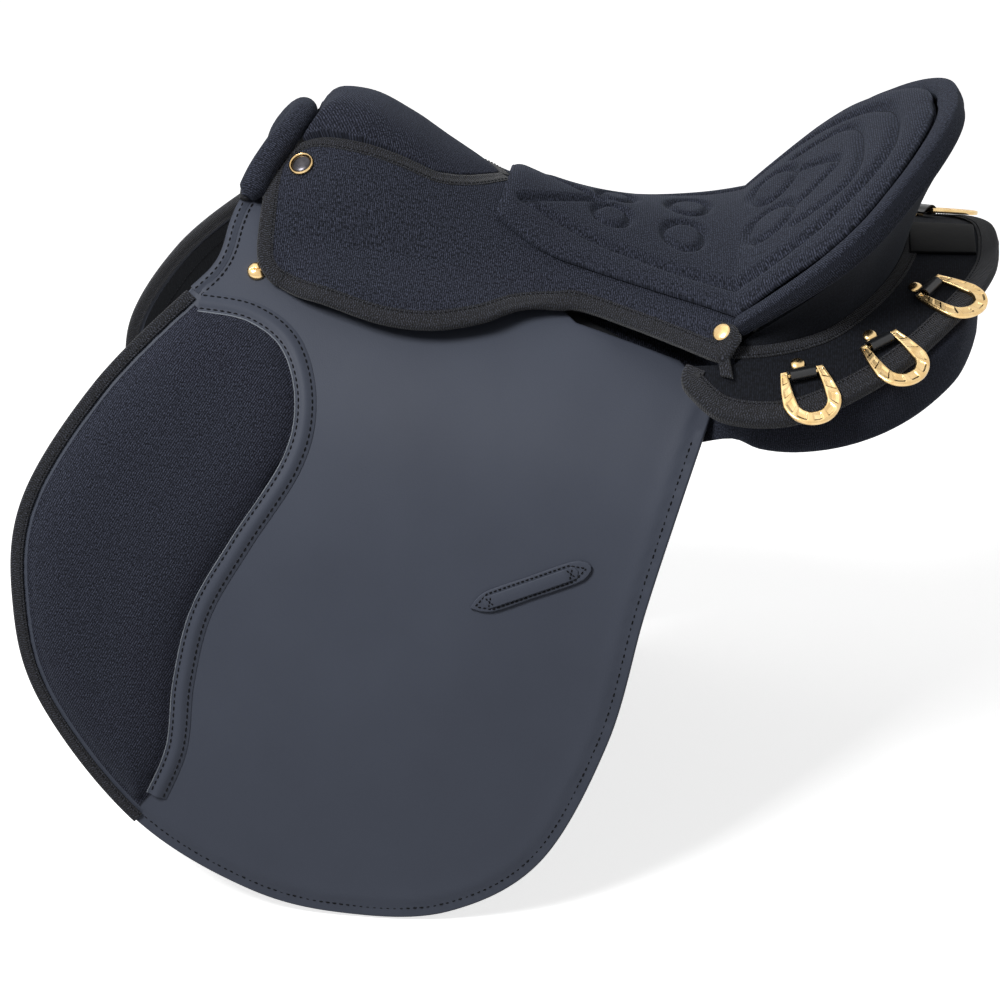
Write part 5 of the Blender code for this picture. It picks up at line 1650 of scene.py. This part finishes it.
@dataclass(frozen=True)
class GirthStraps(Assembly):
    """Sweat flap, and two billets with punched holes."""

    top: tuple = ((-236, 41), (-203, 38), (-197, 25), (-150, 22), (-62, 33), (-22, 52), (8, 76))
    edge: tuple = ((8, 76), (14, 130), (2, 200), (-25, 290), (-62, 355), (-120, 396), (-200, 402), (-272, 375),
                   (-330, 315), (-350, 245), (-340, 170), (-300, 105), (-258, 66), (-236, 41))
    billets: tuple = (("front", -185.0), ("rear", -85.0))
    width: float = 25.0
    low: float = SWEAT_TOP_H + 1.0
    high: float = SWEAT_TOP_H + 4.5
    top_s: float = 62.0
    end_s: float = 340.0
    point: float = 12.0
    hole_radius: float = 2.3
    hole_pitch: float = 26.0
    hole_count: int = 8

    def build_billet(self, word: str, x: float) -> None:
        """Builds a girth strap.

        Args:
            word: its place, front or rear.
            x: place of its middle.
        """
        place, half = flank(self.side), self.width / 2
        holes = np.array([(x, self.end_s - 30 - k * self.hole_pitch) for k in range(self.hole_count)])
        rings = [(holes[:, None] + radius * circle(14)).reshape(-1, 2) for radius in (1.5, self.hole_radius, 3.0)]

        def dip(a: Array, b: Array) -> Array:
            """Depth of the punched holes in one face."""
            away = np.hypot(a[:, None] - holes[:, 0], b[:, None] - holes[:, 1]).min(1)
            return 1.5 * np.clip((self.hole_radius + 0.4 - away) / 0.8, 0, 1)

        end, cut = self.end_s - self.point, half - self.point / 2
        corners = [(x - half, self.top_s), (x + half, self.top_s), (x + half, end), (x + cut, self.end_s),
                   (x - cut, self.end_s), (x - half, end), (x - half, self.top_s)]
        shape = cloth(straight(corners, 3)[:-1], place, lambda a, b: self.low + dip(a, b),
                      lambda a, b: self.high - dip(a, b), 3.5, 1.0, extra=np.vstack([*rings, holes]))
        name = f"billet_{word}_@"
        strap = self.add(f"strap_{name}", shape, self.finishes.bridle, Slot.BILLET, name, name)
        self.sheet(strap, "hung", "tree")
        rows = [stitches(straight([(a, self.top_s + 4), (a, self.end_s - 16)], 3), place, self.high)
                for a in (x + 3 - half, x + half - 3)]
        self.add(f"stitches_{name}", merged(rows), self.finishes.thread, Slot.BILLET, name)

    def build(self) -> None:
        """Builds the sweat flap and the straps on it."""
        outline = np.vstack([straight(self.top, 5)[:-1], through(self.edge, 5)[:-1]])
        shape = cloth(outline, flank(self.side), SWEAT_TOP_H - SWEAT_THICK, SWEAT_TOP_H, 7.0)
        sweat = self.add("sweat_flap_leather_@", shape, self.finishes.bridle, Slot.LEATHER, "saddle",
                         "sweat_flap_@")
        self.sheet(sweat, "hung", "tree")
        for word, x in self.billets:
            self.build_billet(word, x)


# Brass fittings

@dataclass(frozen=True)
class GearRing(Assembly):
    """Cast horseshoe ring with pressed rectangles, its folded strap and its rivet."""

    word: str = "front"
    bar: tuple = (101, 156)
    tip: tuple = (114, 190)
    tip_high: float = 3.6
    outer_radius: float = 18.9
    inner_radius: float = 9.7
    outer_end: float = 14.2
    inner_end: float = 9.2
    arm: float = 21.0
    thick: float = 3.0
    heel: float = 2.5
    section: tuple = ((0.0, 0.35), (0.02, 0.7), (0.08, 0.95), (0.2, 1), (0.3, 1), (0.38, 1), (0.5, 1), (0.62, 1),
                      (0.7, 1), (0.8, 1), (0.92, 0.95), (0.98, 0.7), (1.0, 0.35))
    prints: int = 9
    print_depth: float = 0.6
    bar_radius: float = 1.5
    strap_width: float = 16.6
    strap_thick: float = 1.2
    strap_eye: float = 2.8
    strap_tail: float = 6.5
    strap_ridge: float = 0.55
    rivet_back: float = 10.9
    rivet_radius: float = 4.7
    rivet_height: float = 2.6

    def frame(self) -> tuple[Array, Array, Array, Array]:
        """Middle of the ring's bar, and the directions across, along and out."""
        stand = GAP + 0.3 + self.strap_eye + self.strap_thick
        at = apron(*self.bar, stand)
        along = unit(apron(*self.tip, self.tip_high) - at)
        up = apron(*self.bar, stand + 1) - at
        up = unit(up - along * (up @ along))
        at, along, up = (row * (1, self.side.value, 1) for row in (at, along, up))
        return at, np.cross(along, up), along, up

    def shoe_line(self, end: float, radius: float, count: int) -> Array:
        """One edge of the horseshoe.

        Args:
            end: half width at its heel.
            radius: radius of its closed end.
            count: points on it.

        Returns:
            Rows of (across, along).
        """
        turns = np.linspace(0, math.pi, 17)
        arc = np.stack([radius * np.cos(turns), self.arm + radius * np.sin(turns)], 1)
        start = np.array([(end, -self.heel), ((end + radius) / 2 + 0.6, self.arm / 2 - 1)])
        line = through(np.vstack([start, arc, start[::-1] * (-1, 1)]), 0.5)
        run = lengths(line)
        return walk(line, run, np.linspace(0, run[-1], count))

    def shoe(self) -> Shape:
        """Horseshoe casting with its bar."""
        origin, across, along, up = self.frame()
        count, half = 260, self.thick / 2
        outer = self.shoe_line(self.outer_end, self.outer_radius, count)
        inner = self.shoe_line(self.inner_end, self.inner_radius, count)
        # Each pressed rectangle has steep walls and a flat floor; every third one is shorter.
        cell = np.linspace(0, 1, count) * self.prints
        wide = np.where(cell.astype(int) % 3 == 1, 0.3, 0.38)
        run = np.clip((wide - np.abs(cell % 1.0 - 0.5)) / 0.06, 0, 1)
        section = [(w, h * (half + 0.2), np.clip((0.3 - abs(w - 0.5)) / 0.1, 0, 1)) for w, h in self.section]
        section += [(1.0, -0.6 * half, 0), (0.95, -half, 0), (0.05, -half, 0), (0.0, -0.6 * half, 0)]
        rows = []
        for w, h, pressed in section:
            a, b = (outer + (inner - outer) * w).T[..., None]
            rows.append(origin + a * across + b * along + (h - self.print_depth * pressed * run)[:, None] * up)
        end = self.outer_end - 2.5
        bar = np.array([-end, end])[:, None, None] * across + self.bar_radius * circle(16) @ np.array([along, up])
        return merged([skin(np.stack(rows, 1)), skin(origin + bar)])

    def strap(self) -> Shape:
        """Ridged strap folded round the ring's bar."""
        origin, across, along, up = self.frame()
        middle, tail = self.strap_eye + self.strap_thick / 2, self.strap_tail
        line = [(-tail, -middle), (-tail / 2, -middle), (0, -middle)]
        line += [(middle * math.sin(t), -middle * math.cos(t)) for t in np.linspace(0, math.pi, 8)[1:]]
        line += [(-2.6, middle * 0.66), (-4.6, -0.2), (-tail + 0.4, -middle + self.strap_thick + 0.4)]
        line = through(line, 0.7)
        rows = []
        for a in np.linspace(-1, 1, 33):
            # Four ridges run along the strap, as on ribbed nylon.
            edge = math.sqrt(max(0.0, 1 - abs(a) ** 8))
            ridge = self.strap_ridge * (0.5 + 0.5 * math.cos(a * 2 * TURN)) * edge
            outer = offset(line, self.strap_thick / 2 * (0.45 + 0.55 * edge) + ridge)
            loop = np.vstack([outer, offset(line, -self.strap_thick / 2)[::-1]])
            rows.append(origin + a * self.strap_width / 2 * across + loop @ np.array([along, up]))
        return skin(np.array(rows))

    def build(self) -> None:
        """Builds the ring with its strap and rivet."""
        origin, _, along, up = self.frame()
        tail = f"{self.word}_@"
        self.add(f"horseshoe_{tail}", self.shoe(), self.finishes.brass, Slot.BRASS, f"gear_ring_{tail}",
                 f"gear_ring_{tail}")
        self.add(f"ring_loop_{tail}", self.strap(), self.finishes.nylon, Slot.TAPE, "saddle", f"ring_strap_{tail}")
        base = origin - along * self.rivet_back - up * (self.strap_eye + self.strap_thick + 0.6)
        self.add(f"rivet_{tail}", dome(base, up, self.rivet_radius, self.rivet_height), self.finishes.brass,
                 Slot.BRASS, "saddle", f"ring_rivet_{tail}")


def dome(base: Array, up: Array, radius: float, height: float, slot: float = 0.0) -> Shape:
    """Round-headed fixing, plain or with a screw slot.

    Args:
        base: middle of its foot.
        up: its axis.
        radius, height: its size.
        slot: half width of the slot, 0 for none.

    Returns:
        The fixing.
    """
    turns = np.linspace(0.0, TURN / 4 - 0.02, 18)
    profile = [(radius * 0.96, 0.0), (radius, height * 0.06), (radius, height * 0.12)]
    profile += [(radius * 0.985 * math.cos(t), height * (0.16 + 0.84 * math.sin(t))) for t in turns]
    shape = turned(profile, base, up, 64)
    if not slot:
        return shape
    away = shape.points - base
    high = away @ up
    depth = np.clip((slot + 0.25 - np.abs(away @ cross_axes(up)[0])) / 0.3, 0, 1) * (high > height * 0.5)
    sunk = depth * (high - np.minimum(high, height * 0.72))
    return Shape(shape.points - sunk[:, None] * up, shape.faces, shape.weave)


@dataclass(frozen=True)
class Fixings(Assembly):
    """Studs on the flap and the skirt, and the plain button by the pommel."""

    front_spot: tuple = (-264.0, 15.0)
    rear_spot: tuple = (48.0, 104.0)
    button_spot: tuple = (-239.0, 58.0)
    stud_radius: float = 6.3
    stud_height: float = 4.6
    screw_slot: float = 0.45
    button_radius: float = 8.5
    button_height: float = 2.6

    def build(self) -> None:
        """Builds the fixings of one side."""
        for word, place, spot, lift, height, slot in (
                ("front", flank(self.side), self.front_spot, FLAP_THICK, self.stud_height, self.screw_slot),
                ("rear", seat_side(self.side), self.rear_spot, -0.4, self.stud_height / 2, 0.0)):
            stud = dome(place(*spot, lift + 0.1), normal_at(place, *spot), self.stud_radius, height, slot)
            self.add(f"stud_{word}_@", stud, self.finishes.brass, Slot.BRASS, "saddle", f"{word}_stud_@")
        place = seat_side(self.side)
        base, up = place(*self.button_spot, 0.1), normal_at(place, *self.button_spot)
        r, h = self.button_radius, self.button_height
        rim = [(r * 0.97, 0.0), (r, h * 0.25), (r, h * 0.6), (r - 0.35, h * 0.9), (r - 0.8, h), (r - 1.3, h * 0.92),
               (r - 1.6, h * 0.6), (r - 1.65, h * 0.2), (r - 3, h * 0.1)]
        self.add("button_rim_@", turned(rim, base, up, 72), self.finishes.brass, Slot.BRASS, "saddle", "badge_@")
        middle = [((r - 1.7) * math.cos(t), h * (0.3 + 0.75 * math.sin(t)))
                  for t in np.linspace(0.0, TURN / 4 - 0.02, 14)]
        self.add("button_dome_@", turned(middle, base, up, 72), self.finishes.nickel, Slot.BRASS)


# Studio

def seen_rays(tree: Tree) -> Socket:
    """Rays that show the background: 1 straight to the camera, mirrored or through glass, otherwise 0."""
    path = add_node(tree, "LightPath").node.outputs
    mirrored = add_node(tree, "Math", (path["Is Glossy Ray"], path["Is Transmission Ray"]), operation="MAXIMUM")
    return add_node(tree, "Math", (path["Is Camera Ray"], mirrored), operation="MAXIMUM")


@dataclass(frozen=True)
class Studio:
    """Pale floor, soft lights, camera and white surroundings."""

    camera_at: tuple = (0.10008, -1.99879, 0.72082)
    look_at: tuple = (-0.110, 0.0, -0.174)
    lens: float = 110.88
    floor_gap: float = 0.002
    floor_half: float = 40.0
    floor_glow: float = 0.74
    world: float = 0.13
    world_seen: float = 1.2

    def stand(self, name: str, data: bpy.types.ID, at: tuple, aim: tuple) -> Piece:
        """Lamp or camera that points from one place to another."""
        thing = bpy.data.objects.new(name, data)
        thing.location = at
        thing.rotation_mode = "QUATERNION"
        thing.rotation_quaternion = (Vector(aim) - Vector(at)).to_track_quat("-Z", "Y")
        bpy.context.scene.collection.objects.link(thing)
        return thing

    def floor(self, height: float) -> None:
        """Floor under the saddle, which keeps its shadow."""
        mesh, half = bpy.data.meshes.new("floor"), self.floor_half
        corners = ((-half, -half), (half, -half), (half, half), (-half, half))
        mesh.from_pydata([(x, y, height) for x, y in corners], [], [(0, 1, 2, 3)])
        floor = bpy.data.objects.new("floor", mesh)
        bpy.context.scene.collection.objects.link(floor)
        # The camera sees the floor as pure white away from the shadow; the saddle is lit by plain card.
        card = Finish("white_studio_floor", "#6e6e70", "#ffffff", 0.9)
        material, tree, shader = card.surface(Emission_Color=(1, 1, 1, 1))
        seen = seen_rays(tree)
        card.tone(tree, shader, seen)
        glow = add_node(tree, "Math", (seen, self.floor_glow), operation="MULTIPLY")
        tree.links.new(glow, shader.inputs["Emission Strength"])
        mesh.materials.append(material)
        floor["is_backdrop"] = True

    def surroundings(self) -> None:
        """White surroundings, brighter to the camera than to the saddle."""
        world = bpy.data.worlds.new("studio")
        world.use_nodes = True
        bpy.context.scene.world = world
        tree, background = world.node_tree, world.node_tree.nodes["Background"]
        levels = (seen_rays(tree), self.world_seen - self.world, self.world)
        background.inputs["Color"].default_value = (1, 1, 1, 1)
        tree.links.new(add_node(tree, "Math", levels, operation="MULTIPLY_ADD"), background.inputs["Strength"])

    def build(self, lowest: float) -> None:
        """Builds the studio on the height of the saddle's lowest point."""
        self.floor(lowest - self.floor_gap)
        self.surroundings()
        for name, at, aim, size, power in (("key_softbox", (-1.2, -1.6, 1.8), (-0.1, 0, -0.1), 0.8, 62),
                                           ("top_softbox", (-0.5, 0.0, 1.9), (-0.1, 0, 0), 1.4, 5)):
            lamp = bpy.data.lights.new(name, "AREA")
            lamp.size, lamp.energy = size, power
            self.stand(name, lamp, at, aim)
        data = bpy.data.cameras.new("camera")
        data.sensor_width, data.lens = 36.0, self.lens
        bpy.context.scene.camera = self.stand("camera", data, self.camera_at, self.look_at)
        bpy.context.scene.view_settings.view_transform = "Standard"


@dataclass(frozen=True)
class TrailSaddle:
    """The whole saddle."""

    finishes: Finishes
    rings: tuple = (("front", (101, 156), (114, 190)), ("middle", (150, 130), (176, 160)),
                    ("rear", (182, 79), (217, 98)))

    def parts(self) -> list[Assembly]:
        """Sub-assemblies in the order in which they are built."""
        parts = [SeatCover(self.finishes, side) for side in Side]
        parts += [kind(self.finishes) for kind in (SeatPad, Pommel, Cantle, RearSkirt)]
        for side in Side:
            parts += [kind(self.finishes, side) for kind in (Panel, Flap, GirthStraps, Fixings)]
            parts += [GearRing(self.finishes, side, *spot) for spot in self.rings]
        return parts

    def dress_nodes(self) -> None:
        """Dresses the CAD nodes that stay."""
        steel = self.finishes.steel
        for name, material in (("tree", self.finishes.plastic), ("gullet_plate", steel),
                               ("stirrup_bar_left", steel), ("stirrup_bar_right", steel)):
            mesh = frame["nodes"][name].data
            mesh.materials.clear()
            mesh.materials.append(material)


def main() -> None:
    """Builds the saddle and its studio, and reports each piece."""
    logging.basicConfig(level=logging.INFO, format="%(message)s")
    cad = [list(corner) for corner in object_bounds()]
    saddle = TrailSaddle(Finishes())
    for part in saddle.parts():
        part.build()
    saddle.dress_nodes()
    for piece in bpy.context.scene.objects:
        if piece.type == "MESH" and "weave" in piece.data.uv_layers:
            log.info("%s: %d faces", piece.name, len(piece.data.polygons))
    Studio().build(cad[0][2])


if __name__ == "__main__":
    main()
